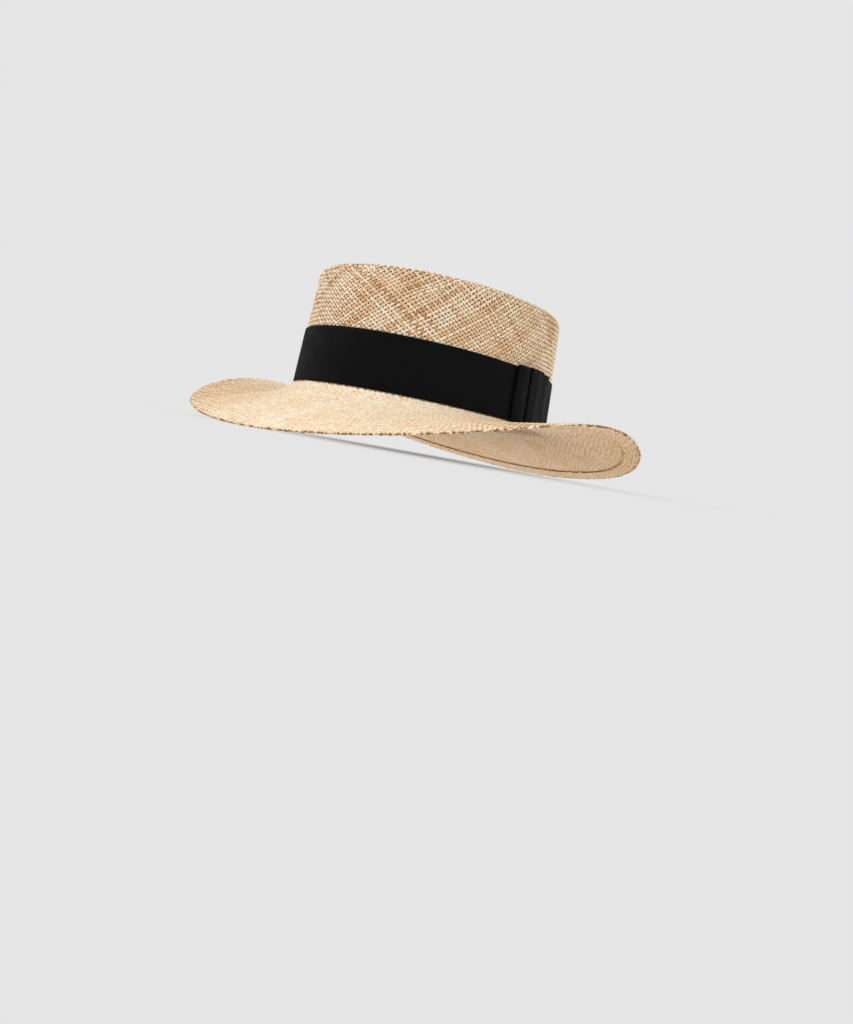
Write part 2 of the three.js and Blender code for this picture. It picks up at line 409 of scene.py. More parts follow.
@dataclass
class CrownBody:
    """The crown: a square of plain weave in the middle of the tip, then rounds over it and down the side.

    Attributes:
        middle: how far the middle of the weave lies outside the crown's oval.
        top: the height of the middle of the weave on the tip.
        corner: the radius of the corner between the tip and the side.
        foot: the height of the crown's lower edge.
        cells: how many strands of a family start on each side of the middle square.
        square: the length of that square's sides.
        tip_path: the distance along the strands' path that is on the tip.
        centre_slant: the strands' angle to the way round at the square.
        side_slant: their angle on the side.
    """

    middle: float = -1.25
    top: float = 80.4
    corner: float = 5.45
    foot: float = 0.9
    cells: int = 9
    square: float = 28.8
    tip_path: float = 66.0
    centre_slant: float = math.radians(45)
    side_slant: float = math.radians(37)

    ROUND_STEPS: ClassVar[int] = 241

    def __post_init__(self) -> None:
        """Works out the flat tip's own oval and the length of the path."""
        inwards = self.middle - self.corner
        self.tip_width = FORM.half_width - FORM.width_taper * self.top + inwards
        self.tip_length = FORM.half_length - FORM.length_taper * self.top + inwards
        self.founders = 4 * self.cells
        self.path = self.tip_path + self.corner * math.pi / 2 + self.top - self.corner - self.foot
        self.upward = np.array([0, -math.tan(FORM.lean), 1.0])

    def slant(self, along: Array) -> Array:
        """Eases the strands' angle to the way round, from the square's diagonal to that of the side."""
        return np.interp(along, [0, self.tip_path], [self.centre_slant, self.side_slant])

    def rounds(self, along: Array) -> Array:
        """Measures the way round the crown.

        Args:
            along: distances along the path.

        Returns:
            The length of a full turn at each of them.
        """
        share = np.linspace(0, 1, self.ROUND_STEPS)
        points = self.lay(share[None, :], along[:, None])[0]
        return np.linalg.norm(np.diff(points, axis=1), axis=2).sum(axis=1)

    def square_rim(self, share: Array) -> Array:
        """Goes round the rim of the middle square, from the middle of its front side.

        Args:
            share: places round the crown, in full turns.

        Returns:
            The places on the rim, in x and y.
        """
        lap = np.mod(share + 0.125, 1.0) * 4
        side = np.minimum(lap.astype(int), 3)
        far = (lap - side - 0.5) * self.square
        half = np.full_like(far, self.square / 2)
        x = np.choose(side, [far, half, -far, -half])
        y = np.choose(side, [-half, far, half, -far])
        return np.stack([x, y], axis=-1)

    def settle(self, points: Array) -> Array:
        """Tips points so that the crown's tip is level when the hat stands on its brim.

        Args:
            points: places in the hat's frame, which are changed.

        Returns:
            The same points.
        """
        up = np.clip(points[..., 2] / (self.top - self.corner), 0, 1)
        points[..., 2] += math.tan(FORM.lean) * points[..., 1] * up
        return points

    def lay(self, share: Array, along: Array) -> tuple[Array, Array]:
        """Blocks the straw over the tip, round its corner and down the leaning side.

        Args:
            share: places round the crown, in full turns.
            along: distances along the path, from the rim of the middle square to the foot.

        Returns:
            The points and the ways that the straw's outer face looks there.
        """
        share, along = np.broadcast_arrays(share, along)
        turn = even_turn(share, self.tip_width, self.tip_length)
        out = np.clip(along / self.tip_path, 0, 1)[..., None]
        down = np.maximum(along - self.tip_path, 0)
        bend = np.minimum(down / self.corner, math.pi / 2)
        straight = np.maximum(down - self.corner * math.pi / 2, 0)
        height = self.top - self.corner * (1 - np.cos(bend)) - straight
        points = FORM.oval(turn, height, self.middle - self.corner * (1 - np.sin(bend)))
        points[..., :2] = self.square_rim(share) * (1 - out) + points[..., :2] * out

        plan = oval_normal(turn, self.tip_width, self.tip_length)
        side = plan + np.array([0, 0, FORM.width_taper])
        normals = unit(np.sin(bend)[..., None] * side + np.cos(bend)[..., None] * self.upward)
        return self.settle(points), normals

    def close(self, family: Family) -> Iterator[tuple[Array, Array, Array]]:
        """Weaves the middle square; every strand of it meets one of the first round.

        Args:
            family: which way the strands run.

        Yields:
            A strand's points, its normals, and 1 where it passes over or -1 where it passes under.
        """
        span = 2 * self.cells
        for offset in range(1 - span, span, 2):
            steps = np.arange(span - abs(offset) + 1)
            across, back = max(offset, 0) + steps, max(-offset, 0) + steps
            beat = np.where(across % 2 == 0, 1.0, -1.0) * family.value
            across = across if family is Family.WARP else span - across
            x, y = ((v / span - 0.5) * self.square for v in (across, back))
            points = self.settle(np.stack([x, y, np.full(len(steps), self.top)], axis=-1))
            yield points, np.tile(unit(self.upward), (len(steps), 1)), beat


@dataclass
class BrimSheet:
    """The sheet of the brim: a collar inside the crown, the dipping brim, and the hem folded under it.

    Attributes:
        layer: the thickness of one layer of woven straw.
        hem: the breadth of the straw that is folded under.
        hem_fold: the thickness of the folded edge.
        collar: the breadth of the straw that is turned up into the crown.
        collar_offset: how far the collar stands outside the crown's oval.
        collar_bend: the breadth of the straw in the collar's bend.
        collar_knee: the height of the corner that the bend rounds off.
        collar_foot: the height at which the bend ends.
        slope_length: how much longer the way down a brim's curve is than its drop.
        dip_share: where the dip is deepest, as a share of the way out.
        crease: the breadth of the edge's crease.
        notch: how much narrower the strands are there.
        bruise: how much painted shade darkens the strands low on the fold.
        bruise_place: where it is darkest, as a share of the fold.
        bruise_breadth: how far from there that fades.
        bend_margin: how far the collar's extra rings reach past its bend.
        bend_rings: one place in so many gets an extra ring there.
        sections: the brim's shape at each 30 degrees from the front round to the back.
    """

    layer: float = 1.15
    hem: float = 10.5
    hem_fold: float = 2.2
    collar: float = 12.0
    collar_offset: float = -2.9
    collar_bend: float = 3.6
    collar_knee: float = -0.8
    collar_foot: float = 1.4
    slope_length: float = 1.05
    dip_share: float = 0.25
    crease: float = 1.2
    notch: float = 0.45
    bruise: float = 1.15
    bruise_place: float = 0.62
    bruise_breadth: float = 0.6
    bend_margin: float = 0.3
    bend_rings: int = 3
    sections: tuple[Triple, ...] = (
        # width, drop, dip
        (70.5, 36.6, 3.5),
        (70.5, 28.8, 4.0),
        (70.5, 8.7, 3.5),
        (70.5, -4.8, 3.5),
        (70.5, 8.0, 3.0),
        (70.4, 21.7, 2.5),
        (70.4, 26.9, 2.5),
    )

    def __post_init__(self) -> None:
        """Turns the table's columns into waves round the brim."""
        table = np.array(self.sections)
        last = len(table) - 1
        steps = np.arange(last + 1)
        share = np.where(np.isin(steps, (0, last)), 0.5, 1.0)
        waves = np.cos(math.pi * np.outer(steps, steps) / last)
        self.waves = (2 / last) * share[:, None] * (waves @ (share[:, None] * table))
        self.dip_end = math.exp(1 - 1 / self.dip_share) / self.dip_share
        self.fold_radius = (self.hem_fold - self.layer) / 2
        self.fold = math.pi * self.fold_radius

    def section(self, turn: Array) -> tuple[Array, Array, Array]:
        """Reads the brim's shape.

        Args:
            turn: angles round the brim.

        Returns:
            The reach of the edge, its fall and the dip of the straw at each turn.
        """
        waves = np.cos(turn[..., None] * np.arange(len(self.waves)))
        width, drop, dip = np.moveaxis(waves @ self.waves, -1, 0)
        return np.sqrt(width**2 - (self.slope_length * drop) ** 2), drop - self.hem_fold / 2, dip

    def rim(self, turn: Array) -> Array:
        """Gives how far out the straw starts to fold under."""
        return self.section(turn)[0] - self.fold_radius

    def polar(self, x: Array, y: Array) -> tuple[Array, Array]:
        """Gives the turn, and the distance out from the head line, of places on the flat sheet."""
        return oval_coordinates(x, y, FORM.half_width, FORM.half_length)

    def inside(self, turn: Array, out: Array) -> Array:
        """Tells how far each place is from the cut edges of the collar and the hem, below 0 outside."""
        return np.minimum(out + self.collar, self.rim(turn) + self.fold + self.hem - out)

    def sharp(self, turn: Array, out: Array) -> Array:
        """Finds the places that get a ring of points for the folded edge or the bend of the collar.

        Args:
            turn: angles round the brim.
            out: distances on the flat sheet.

        Returns:
            Whether each place gets one.
        """
        folded = np.abs(out - self.rim(turn) - self.fold / 2) < self.crease
        turned_up = (out < self.bend_margin) & (out > -self.collar_bend - self.bend_margin)
        return folded | (turned_up & (np.arange(len(out)) % self.bend_rings == 0))

    def pinch(self, turn: Array, out: Array) -> Array:
        """Narrows the strands where they are creased at the edge, which leaves small notches."""
        past = out - self.rim(turn) - self.fold / 2
        return 1 - self.notch * np.exp(-((past / self.crease) ** 2))

    def shade(self, turn: Array, out: Array) -> Array:
        """Paints shade on the strands low on the folded edge, the edge's underside that faces away from
        the light.
        """
        past = out - self.rim(turn) - self.bruise_place * self.fold
        return self.bruise * np.exp(-((past / self.bruise_breadth) ** 2))

    def lay(self, turn: Array, out: Array) -> tuple[Array, Array]:
        """Blocks the flat sheet into the collar, the brim and its hem.

        Args:
            turn: angles round the brim.
            out: distances on the flat sheet, straight out from the head line.

        Returns:
            The points and the ways that the straw's upper or outer face looks there.
        """
        section, facing = self.turned_up(out, *self.blocked(turn, out))
        plan = oval_normal(turn, FORM.half_width, FORM.half_length)
        points = FORM.oval(turn, 0.0, 0.0) + plan * section[..., :1]
        points[..., 2] = section[..., 1]
        normals = plan * facing[..., :1]
        normals[..., 2] = facing[..., 1]
        return points, unit(normals)

    def blocked(self, turn: Array, out: Array) -> tuple[Array, Array]:
        """Blocks the brim and its hem, seen as a cut straight out from the head line.

        Args:
            turn: angles round the brim.
            out: distances on the flat sheet.

        Returns:
            The places in the cut and the ways that the upper face looks, as outwards and upwards.
        """
        reach, fall, dip = self.section(turn)
        rim = reach - self.fold_radius
        past = np.maximum(out - rim, 0)
        bend = np.minimum(past / self.fold_radius, math.pi)
        level = np.clip(out, 0, rim) - np.maximum(past - self.fold, 0)

        part = level / reach
        wave = np.exp(1 - part / self.dip_share)
        curve = part / self.dip_share * wave - part * self.dip_end
        steep = (1 - part / self.dip_share) / self.dip_share * wave - self.dip_end
        tangent = unit(np.stack([reach, -fall - dip * steep], axis=-1))
        upward = np.stack([-tangent[..., 1], tangent[..., 0]], axis=-1)
        face = np.stack([level, -fall * part - dip * curve], axis=-1)

        beyond = self.fold_radius * np.sin(bend)
        below = self.layer / 2 + self.fold_radius * (1 - np.cos(bend))
        section = face + tangent * beyond[..., None] - upward * below[..., None]
        return section, upward * np.cos(bend)[..., None] + tangent * np.sin(bend)[..., None]

    def turned_up(self, out: Array, section: Array, facing: Array) -> tuple[Array, Array]:
        """Turns the inner edge up into the crown, with a quarter bend and then a leaning wall.

        Args:
            out: distances on the flat sheet.
            section: the places in the cut before that.
            facing: the ways that the upper face looks before that.

        Returns:
            The places and the ways that the face looks afterwards.
        """
        inward = np.maximum(-out, 0)
        share = np.clip(inward / self.collar_bend, 0, 1)[..., None]
        knee = np.array([self.collar_offset, self.collar_knee])
        foot = np.array([self.collar_offset, self.collar_foot])
        bent = section * (1 - share) ** 2 + 2 * knee * share * (1 - share) + foot * share**2
        rise = np.maximum(inward - self.collar_bend, 0)
        wall = np.stack([-FORM.length_taper * rise, rise], axis=-1)
        return bent + wall, unit(facing * (1 - share) + np.array([1.0, FORM.width_taper]) * share)


class StrandBundle:
    """Strands gathered into one mesh: closed tubes, each with its own strip of the bake's map."""

    # shares of the map's breadth that the caps at a strand's ends take, and of a row's height left free
    CAP_STRIP = 0.004
    CAP_BREADTH = 0.5 * CAP_STRIP
    CAP_BEFORE = 0.6 * CAP_STRIP
    CAP_AFTER = 0.1 * CAP_STRIP
    CAP_ROOM = 3 * CAP_STRIP
    ROW_MARGIN = 0.06
    # the tone of the darkest brown, which only painted shade reaches
    DARKEST = 2

    def __init__(self, profile: Profile) -> None:
        """Starts with no strand.

        Args:
            profile: the section that all of them get.
        """
        self.profile = profile
        self.section = np.array(profile.value)
        self.rings: list[Array] = []
        self.tones: list[Array] = []
        self.runs: list[Array] = []

    def add(
        self,
        points: Array,
        normals: Array,
        half_width: Array,
        half_thick: float,
        tone: Array,
        mark: float,
    ) -> None:
        """Adds one strand.

        Args:
            points: its middle line.
            normals: the way that its face looks at each point.
            half_width: half its width at each point.
            half_thick: half its thickness.
            tone: its colour at each point and place in the section: 0 pale, 1 russet, 2 painted shade's
                dark brown.
            mark: a number of its own, which the grain starts from.
        """
        sides = unit(np.cross(normals, np.gradient(points, axis=0)))
        across, up = self.section[None, :, :1], self.section[None, :, 1:]
        ring = points[:, None] + sides[:, None] * half_width[:, None, None] * across
        ring = ring + normals[:, None] * half_thick * up
        count, size = ring.shape[:2]
        along = np.repeat(distances(points), size)
        run = [along, np.tile(self.section[:, 0], count), np.full(count * size, mark)]
        self.rings.append(ring)
        self.tones.append(np.clip(tone, 0, self.DARKEST).ravel())
        self.runs.append(np.stack(run, axis=-1))

    def strips(self) -> tuple[list[tuple[int, float]], int, float]:
        """Packs the strands into rows of the bake's map.

        Returns:
            Each strand's row and start, the number of rows, and the length that a row holds.
        """
        lengths = np.array([run[-1, 0] for run in self.runs])
        margin = lengths.max() * self.CAP_ROOM
        row_length = lengths.max() + margin
        room: list[float] = []
        places: list[tuple[int, float]] = [(0, 0.0)] * len(lengths)
        for strand in np.argsort(-lengths, kind="stable"):
            need = lengths[strand] + margin
            row = next((i for i, left in enumerate(room) if left >= need), len(room))
            if row == len(room):
                room.append(row_length)
            places[strand] = (row, row_length - room[row])
            room[row] -= need
        return places, len(room), row_length

    def build(self, name: str) -> bpy.types.Object:
        """Makes the mesh of all the strands.

        Args:
            name: the piece's name.

        Returns:
            The object.
        """
        size = len(self.section)
        places, rows, row_length = self.strips()
        rungs = self.ROW_MARGIN + (1 - 2 * self.ROW_MARGIN) * np.arange(size + 1) / size
        quads, caps, quad_maps, cap_maps = [], [], [], []
        first = 0
        for ring, run, (row, start) in zip(self.rings, self.runs, places):
            last = first + (len(ring) - 1) * size
            here = np.arange(first, last).reshape(-1, size)
            beside = np.roll(here, -1, axis=1)
            quads.append(np.stack([here, here + size, beside + size, beside], axis=-1).reshape(-1, 4))
            caps.append(np.stack([first + np.arange(size), last + np.arange(size)[::-1]]))

            share = (start + run[::size, 0]) / row_length
            at = self.CAP_STRIP + share * (1 - self.CAP_ROOM)
            up = (row + rungs) / rows
            quad_maps.append(cell_maps(at, up))
            cap_maps.append(cap_map(at[0] - self.CAP_BEFORE, self.CAP_BREADTH, up[:-1]))
            cap_maps.append(cap_map(at[-1] + self.CAP_AFTER, self.CAP_BREADTH, up[:-1][::-1]))
            first = last + size
        made = make_object(
            name,
            np.concatenate([ring.reshape(-1, 3) for ring in self.rings]),
            [np.concatenate(quads), np.concatenate(caps)],
            np.concatenate(quad_maps + cap_maps),
            smooth=self.profile is Profile.ROLLED,
        )
        set_values(made, STRAW_TONE, np.concatenate(self.tones))
        set_values(made, STRAW_RUN, np.concatenate(self.runs))
        return made


class StrandField:
    """Where one family's strands lie round a body; new ones come in by pairs where the body widens."""

    # the distance over which a new pair grows, and the one over which the strands get uneven
    RAMP = 14.0
    SETTLE = 20.0
    # the least that a strand has grown, and the step round the body from pair to pair
    LEAST_GROWN = 1e-6
    GOLDEN = (math.sqrt(5) - 1) / 2

    def __init__(
        self,
        founders: int,
        need: Array,
        steps: Array,
        style: WeaveStyle,
        rng: np.random.Generator,
    ) -> None:
        """Sets out the strands.

        Args:
            founders: how many strands there are at the inner end.
            need: how many strands fit round the body at each step.
            steps: distances along the path.
            style: how the body is woven.
            rng: the seeded source.
        """
        births = [steps[0] - self.RAMP] * founders
        start = rng.uniform()
        for step, wanted in zip(steps, np.maximum.accumulate(need)):
            while wanted > len(births) + 1:
                start = (start + self.GOLDEN) % 1
                spot = int(start * len(births))
                births[spot:spot] = [step, step]
        self.count = len(births)
        grown = np.clip((steps[:, None] - np.array(births)) / self.RAMP, 0, 1)
        self.grown = np.maximum(eased(grown), self.LEAST_GROWN)
        settled = np.clip(steps / self.SETTLE, 0, 1)[:, None]
        self.breadth = 1 + settled * style.breadths(rng, self.count)
        weights = self.grown * self.breadth
        self.total = weights.sum(axis=1)
        bounds = np.cumsum(weights, axis=1) / self.total[:, None]
        self.bounds = np.concatenate([np.zeros((len(steps), 1)), bounds], axis=1)
        middles = (self.bounds[:, 1:] + self.bounds[:, :-1]) / 2

        # new pairs push their neighbours aside, but don't turn the whole family round
        pushed = (np.diff(middles, axis=0) * weights[1:]).sum(axis=1) / self.total[1:]
        self.drift = np.concatenate([[0.0], np.cumsum(pushed)])[:, None]
        self.middles = middles - self.drift

    def places(self, share: Array) -> Array:
        """Turns places round the body into places in the list of strands.

        Args:
            share: places in full turns, a row for each step.

        Returns:
            How many strands lie before each of them.
        """
        share = share + self.drift
        whole = np.floor(share)
        numbers = np.arange(self.count + 1)
        rows = [np.interp(part, bound, numbers) for part, bound in zip(share - whole, self.bounds)]
        return whole * self.count + np.stack(rows)


class Weave(Assembly, ABC):
    """A plain weave of straw: two families of strands that pass over and under each other."""

    # the least distance between a strand's points
    LEAST_STEP = 0.08

    style: WeaveStyle
    blotch: Blotch

    @abstractmethod
    def build(self, family: Family, name: str) -> bpy.types.Object:
        """Weaves one family of strands into a mesh.

        Args:
            family: which way the strands run.
            name: the piece's name.

        Returns:
            The object.
        """

    def stops(self, ends: list[float], between: Array) -> Array:
        """Puts a strand's places in order, without those that lie too close to the one before."""
        found = np.unique(np.concatenate([ends, between]))
        return found[np.concatenate([[True], np.diff(found) > self.LEAST_STEP])]


@dataclass
class CrownWeave(Weave):
    """The crown's weave in the round: the two families spiral opposite ways over it.

    Attributes:
        body: the crown's shape.
        style: how it is woven.
        fine: the distance between the steps along the path.
        shown: how far a new strand has grown when it starts to show.
        early: a new strand has its full width before it is fully grown, by this factor.
    """

    body: CrownBody
    style: WeaveStyle
    fine: float = 0.25
    shown: float = 0.35
    early: float = 1.2

    SLOT = "crown_straw"

    def __post_init__(self) -> None:
        """Sets out both families."""
        body, style = self.body, self.style
        self.steps = np.arange(0.0, body.path, self.fine)
        self.around = body.rounds(self.steps)
        slant = body.slant(self.steps)
        rate = 1 / (self.around * np.tan(slant))
        self.spiral = np.concatenate([[0.0], np.cumsum((rate[1:] + rate[:-1]) / 2 * self.fine)])
        room = self.around * np.sin(slant)
        rng = np.random.default_rng(style.seed)
        self.fields: dict[Family, StrandField] = {}
        self.spacing: dict[Family, Array] = {}
        for family in Family:
            strands = StrandField(body.founders, room / style.pitch, self.steps, style, rng)
            self.fields[family] = strands
            self.spacing[family] = room / strands.total
        self.blotch = Blotch(rng, style.patch)

    def beats(
        self, family: Family, number: int, counts: Array, steps: Array
    ) -> tuple[Array, Array]:
        """Finds where a strand crosses the other family.

        Args:
            family: the strand's family.
            number: its place in the family.
            counts: how many strands of the other family it has met at each step.
            steps: distances along the path, from where the strand starts.

        Returns:
            The distances of the crossings, and 1 where it passes over or -1 where it passes under.
        """
        way, others = family.value, self.fields[family.other]
        marks = np.arange(math.ceil(counts[0] - 0.5), math.floor(counts[-1] - 0.5) + 1) + 0.5
        crossings = np.interp(marks, counts, steps)
        partner = np.round(way * marks - 0.5).astype(int)
        row = np.minimum((crossings / self.fine).astype(int), len(self.steps) - 1)
        real = others.grown[row, partner % others.count] > self.shown
        over = np.where((number + partner) % 2 == 0, way, -way)
        return crossings[real], over[real]

    def build(self, family: Family, name: str) -> bpy.types.Object:
        """Weaves one family of strands into a mesh.

        Args:
            family: which way the strands run.
            name: the piece's name.

        Returns:
            The object.
        """
        strands, way, style = self.fields[family], family.value, self.style
        spiral = way * self.spiral[:, None]
        share = strands.middles + spiral
        met = way * self.fields[family.other].places(share + spiral)
        met = np.maximum.accumulate(met, axis=0)
        bundle = StrandBundle(style.profile)
        rng = np.random.default_rng(style.seed + 1 + way)
        for number in range(strands.count):
            straw = Straw(rng, self.body.path)
            grown = strands.grown[:, number]
            first = int(np.argmax(grown > self.shown))
            steps = self.steps[first:]
            crossings, over = self.beats(family, number, met[first:, number], steps)
            if len(crossings) < 2:
                continue
            stops = self.stops([steps[0], steps[-1]], crossings)
            sway = style.wander * straw.sway(stops) / np.interp(stops, self.steps, self.around)
            middle = np.interp(stops, steps, share[first:, number])
            points, normals = self.body.lay(middle + sway, stops)
            beat = np.interp(stops, crossings, over)
            own = strands.breadth[:, number] * np.minimum(grown * self.early, 1)
            width = style.cover * np.interp(stops, self.steps, self.spacing[family] * own)
            straw.add_to(bundle, points, normals, beat, width, self, stops)
        for points, normals, beat in self.body.close(family):
            straw = Straw(rng, self.body.path)
            width = np.full(len(points), style.cover * self.spacing[family][0])
            along = np.arange(len(points)) * style.pitch
            straw.add_to(bundle, points, normals, beat, width, self, along)
        return bundle.build(name)


@dataclass
class BrimWeave(Weave):
    """The brim's weave in the flat: straight strands that cross squarely, blocked with their sheet.

    Attributes:
        sheet: the brim's shape.
        style: how it is woven.
        grain: the angle of the strands to the hat's own axes.
        reach: how far the flat sheet reaches from its middle.
        fine: the distance between the places that are tried along a strand.
        clear: how far from a strand's ends its crossings stay, as a share of the pitch.
        patchy: how uneven the painted shade along the folded edge is.
    """

    sheet: BrimSheet
    style: WeaveStyle
    grain: float = math.radians(-15)
    reach: float = 196.0
    fine: float = 0.4
    clear: float = 0.25
    patchy: float = 0.9

    SLOT = "brim_straw"

    def __post_init__(self) -> None:
        """Sets out both families, with strands of uneven breadth."""
        style = self.style
        rng = np.random.default_rng(style.seed)
        count = 2 * int(self.reach / style.pitch)
        self.lines: dict[Family, Array] = {}
        self.breadths: dict[Family, Array] = {}
        for family in Family:
            breadth = style.pitch * (1 + style.breadths(rng, count))
            ends = np.cumsum(breadth)
            self.lines[family] = ends - breadth / 2 - ends[-1] / 2
            self.breadths[family] = breadth
        self.blotch = Blotch(rng, style.patch)

    def polar(self, family: Family, line: Array, along: Array) -> tuple[Array, Array]:
        """Finds where on the sheet the places along a strand lie.

        Args:
            family: which way the strand runs.
            line: its place across the family.
            along: places along it.

        Returns:
            Their turns and their distances out from the head line.
        """
        u, v = (line, along) if family is Family.WARP else (along, line)
        cos, sin = math.cos(self.grain), math.sin(self.grain)
        return self.sheet.polar(u * cos - v * sin, u * sin + v * cos)

    def build(self, family: Family, name: str) -> bpy.types.Object:
        """Weaves one family of strands into a mesh.

        Args:
            family: which way the strands run.
            name: the piece's name.

        Returns:
            The object.
        """
        sheet, style = self.sheet, self.style
        crossings = self.lines[family.other]
        order = np.arange(len(crossings))
        clear = self.clear * style.pitch
        along = np.arange(-self.reach, self.reach, self.fine)
        bundle = StrandBundle(style.profile)
        rng = np.random.default_rng(style.seed + 1 + family.value)
        for number, (line, breadth) in enumerate(zip(self.lines[family], self.breadths[family])):
            straw = Straw(rng, self.reach)
            turn, out = self.polar(family, np.full_like(along, line), along)
            rings = np.concatenate([crossings, along[sheet.sharp(turn, out)]])
            for start, end in self.stretches(along, sheet.inside(turn, out)):
                within = rings[(rings > start + clear) & (rings < end - clear)]
                stops = self.stops([start, end], within)
                if len(stops) < 3:
                    continue
                place = self.polar(family, line + style.wander * straw.sway(stops), stops)
                points, normals = sheet.lay(*place)
                beat = np.cos(math.pi * (np.interp(stops, crossings, order) + number)) * family.value
                width = style.cover * breadth * sheet.pinch(*place)
                # painted shade on the underside of the folded edge, uneven from strand to strand
                shade = sheet.shade(*place) * (1 + self.patchy * straw.fleck(stops))
                straw.add_to(bundle, points, normals, beat, width, self, stops, shade)
        return bundle.build(name)

    @staticmethod
    def stretches(along: Array, inside: Array) -> Iterator[Range]:
        """Finds the stretches of a line that lie inside the sheet's cut.

        Args:
            along: evenly spaced places on the line.
            inside: how far each place is inside.

        Yields:
            The start and the end of each stretch.
        """
        within = np.concatenate([[False], inside > 0, [False]])
        changes = np.flatnonzero(within[1:] != within[:-1])
        for first, past in zip(changes[::2], changes[1::2]):
            ends = []
            for near, far in ((first, first - 1), (past - 1, past)):
                if 0 <= far < len(along):
                    share = inside[near] / (inside[near] - inside[far])
                    ends.append(along[near] + share * (along[far] - along[near]))
                else:
                    ends.append(along[near])
            yield ends[0], ends[1]


class Straw:
    """One strand's own character: its breadth, its sway and its colour along its length."""

    # the distances over which a strand changes
    SWAY_WAVE = 14.0
    SWELL_WAVE = 6.0
    TINT_WAVE = 12.0
    STAIN_WAVE = 7.0
    FLECK_WAVE = 2.4
    # what a whole strand's own values are drawn from
    TONE_SHAPE = (2.2, 4.6)
    USUAL_TONE = 0.34
    BREADTH_SPREAD = 0.05
    MARKS = 100
    # how much it changes along its length
    SWELL = 0.12
    TINT = 0.2
    STAIN = 0.8
    STAIN_FROM = 0.5

    def __init__(self, rng: np.random.Generator, reach: float) -> None:
        """Draws the strand's own values.

        Args:
            rng: the seeded source.
            reach: how far along the path the strand may run.
        """
        self.sway = Drift(rng, reach, self.SWAY_WAVE)
        self.swell = Drift(rng, reach, self.SWELL_WAVE)
        self.tint = Drift(rng, reach, self.TINT_WAVE)
        self.stain = Drift(rng, reach, self.STAIN_WAVE)
        self.fleck = Drift(rng, reach, self.FLECK_WAVE)
        self.tone = rng.beta(*self.TONE_SHAPE)
        self.broad = rng.normal(1.0, self.BREADTH_SPREAD)
        self.mark = rng.uniform(0, self.MARKS)

    def add_to(
        self,
        bundle: StrandBundle,
        points: Array,
        normals: Array,
        beat: Array,
        width: Array,
        weave: Weave,
        along: Array,
        shade: Array | float = 0.0,
    ) -> None:
        """Lays the strand over and under those that it crosses, and adds it to a bundle.

        Args:
            bundle: what the strand is added to.
            points: its way over the body.
            normals: the way that the body's outer face looks.
            beat: 1 where it passes over, -1 where it passes under.
            width: its usual width.
            weave: the weave that it belongs to.
            along: distances that its colour and its breadth are read at.
            shade: how much painted shade darkens it at each point.
        """
        style = weave.style
        half_width = 0.5 * width * self.broad * (1 + self.SWELL * self.swell(along))
        stain = np.maximum(self.stain(along) - self.STAIN_FROM, 0)
        own = self.tone + self.TINT * self.tint(along) + self.STAIN * stain
        tone = self.USUAL_TONE + style.spread * (own - self.USUAL_TONE)
        tone = tone + style.cloud * weave.blotch(points) + style.fleck * self.fleck(along)
        tone = np.clip(tone, 0, 1) + shade
        # painted shade: faces that look down and the strands' inner faces get a darker tone, towards dark
        # brown
        side = np.sign(bundle.section[:, 1])
        darker = style.dusk * np.maximum(-normals[:, 2:] * side, 0) + style.inner * (side < 0)
        raised = points + normals * (style.rise * beat)[:, None]
        bundle.add(raised, normals, half_width, style.half_thick, tone[:, None] + darker, self.mark)


class Graph:
    """Adds nodes and links to a node tree."""

    def __init__(self, tree: bpy.types.NodeTree) -> None:
        """Starts from an empty tree."""
        self.tree = tree
        tree.nodes.clear()

    def add(
        self, kind: str, inputs: dict[Any, Any] | None = None, **settings: Any
    ) -> bpy.types.Node:
        """Adds a node.

        Args:
            kind: the node's type.
            inputs: for each input, by name or number, a value or the output that feeds it.
            settings: the node's own settings.

        Returns:
            The node.
        """
        node = self.tree.nodes.new(kind)
        for name, value in settings.items():
            setattr(node, name, value)
        for key, value in (inputs or {}).items():
            if isinstance(value, bpy.types.NodeSocket):
                self.tree.links.new(value, node.inputs[key])
            else:
                node.inputs[key].default_value = value
        return node

    def attribute(self, name: str, output: str) -> bpy.types.NodeSocket:
        """Reads a value that the mesh stores for each point."""
        return self.add("ShaderNodeAttribute", attribute_name=name).outputs[output]

    def math(self, operation: str, first: Any, second: Any = 0.0) -> bpy.types.NodeSocket:
        """Works out a value from one or two others and returns the output."""
        return self.add("ShaderNodeMath", {0: first, 1: second}, operation=operation).outputs[0]

    def ease(
        self, value: Any, low: Any, high: Any, to_low: float = 0.0, to_high: float = 1.0
    ) -> bpy.types.NodeSocket:
        """Maps a value smoothly from one range to another and returns the output."""
        inputs = {"Value": value, "From Min": low, "From Max": high, "To Min": to_low, "To Max": to_high}
        return self.add("ShaderNodeMapRange", inputs, interpolation_type="SMOOTHSTEP").outputs["Result"]

    def mix(self, share: Any, first: Any, second: Any, blend: str = "MIX") -> bpy.types.NodeSocket:
        """Mixes two colours and returns the output."""
        inputs = {0: share, 6: first, 7: second}
        return self.add("ShaderNodeMix", inputs, data_type="RGBA", blend_type=blend).outputs[2]

    def noise(self, parts: tuple[Any, Any, Any], detail: float = 2.0) -> bpy.types.NodeSocket:
        """Adds a noise.

        Args:
            parts: the three coordinates that it is read at.
            detail: how fine it is.

        Returns:
            Its value.
        """
        place = self.add("ShaderNodeCombineXYZ", dict(enumerate(parts)))
        inputs = {"Vector": place.outputs[0], "Scale": 1.0, "Detail": detail}
        return self.add("ShaderNodeTexNoise", inputs).outputs["Fac"]

    def feed(self, sink: bpy.types.Node, outputs: dict[str, bpy.types.NodeSocket]) -> None:
        """Links outputs to the inputs of a node that have the given names."""
        for label, socket in outputs.items():
            self.tree.links.new(socket, sink.inputs[label])


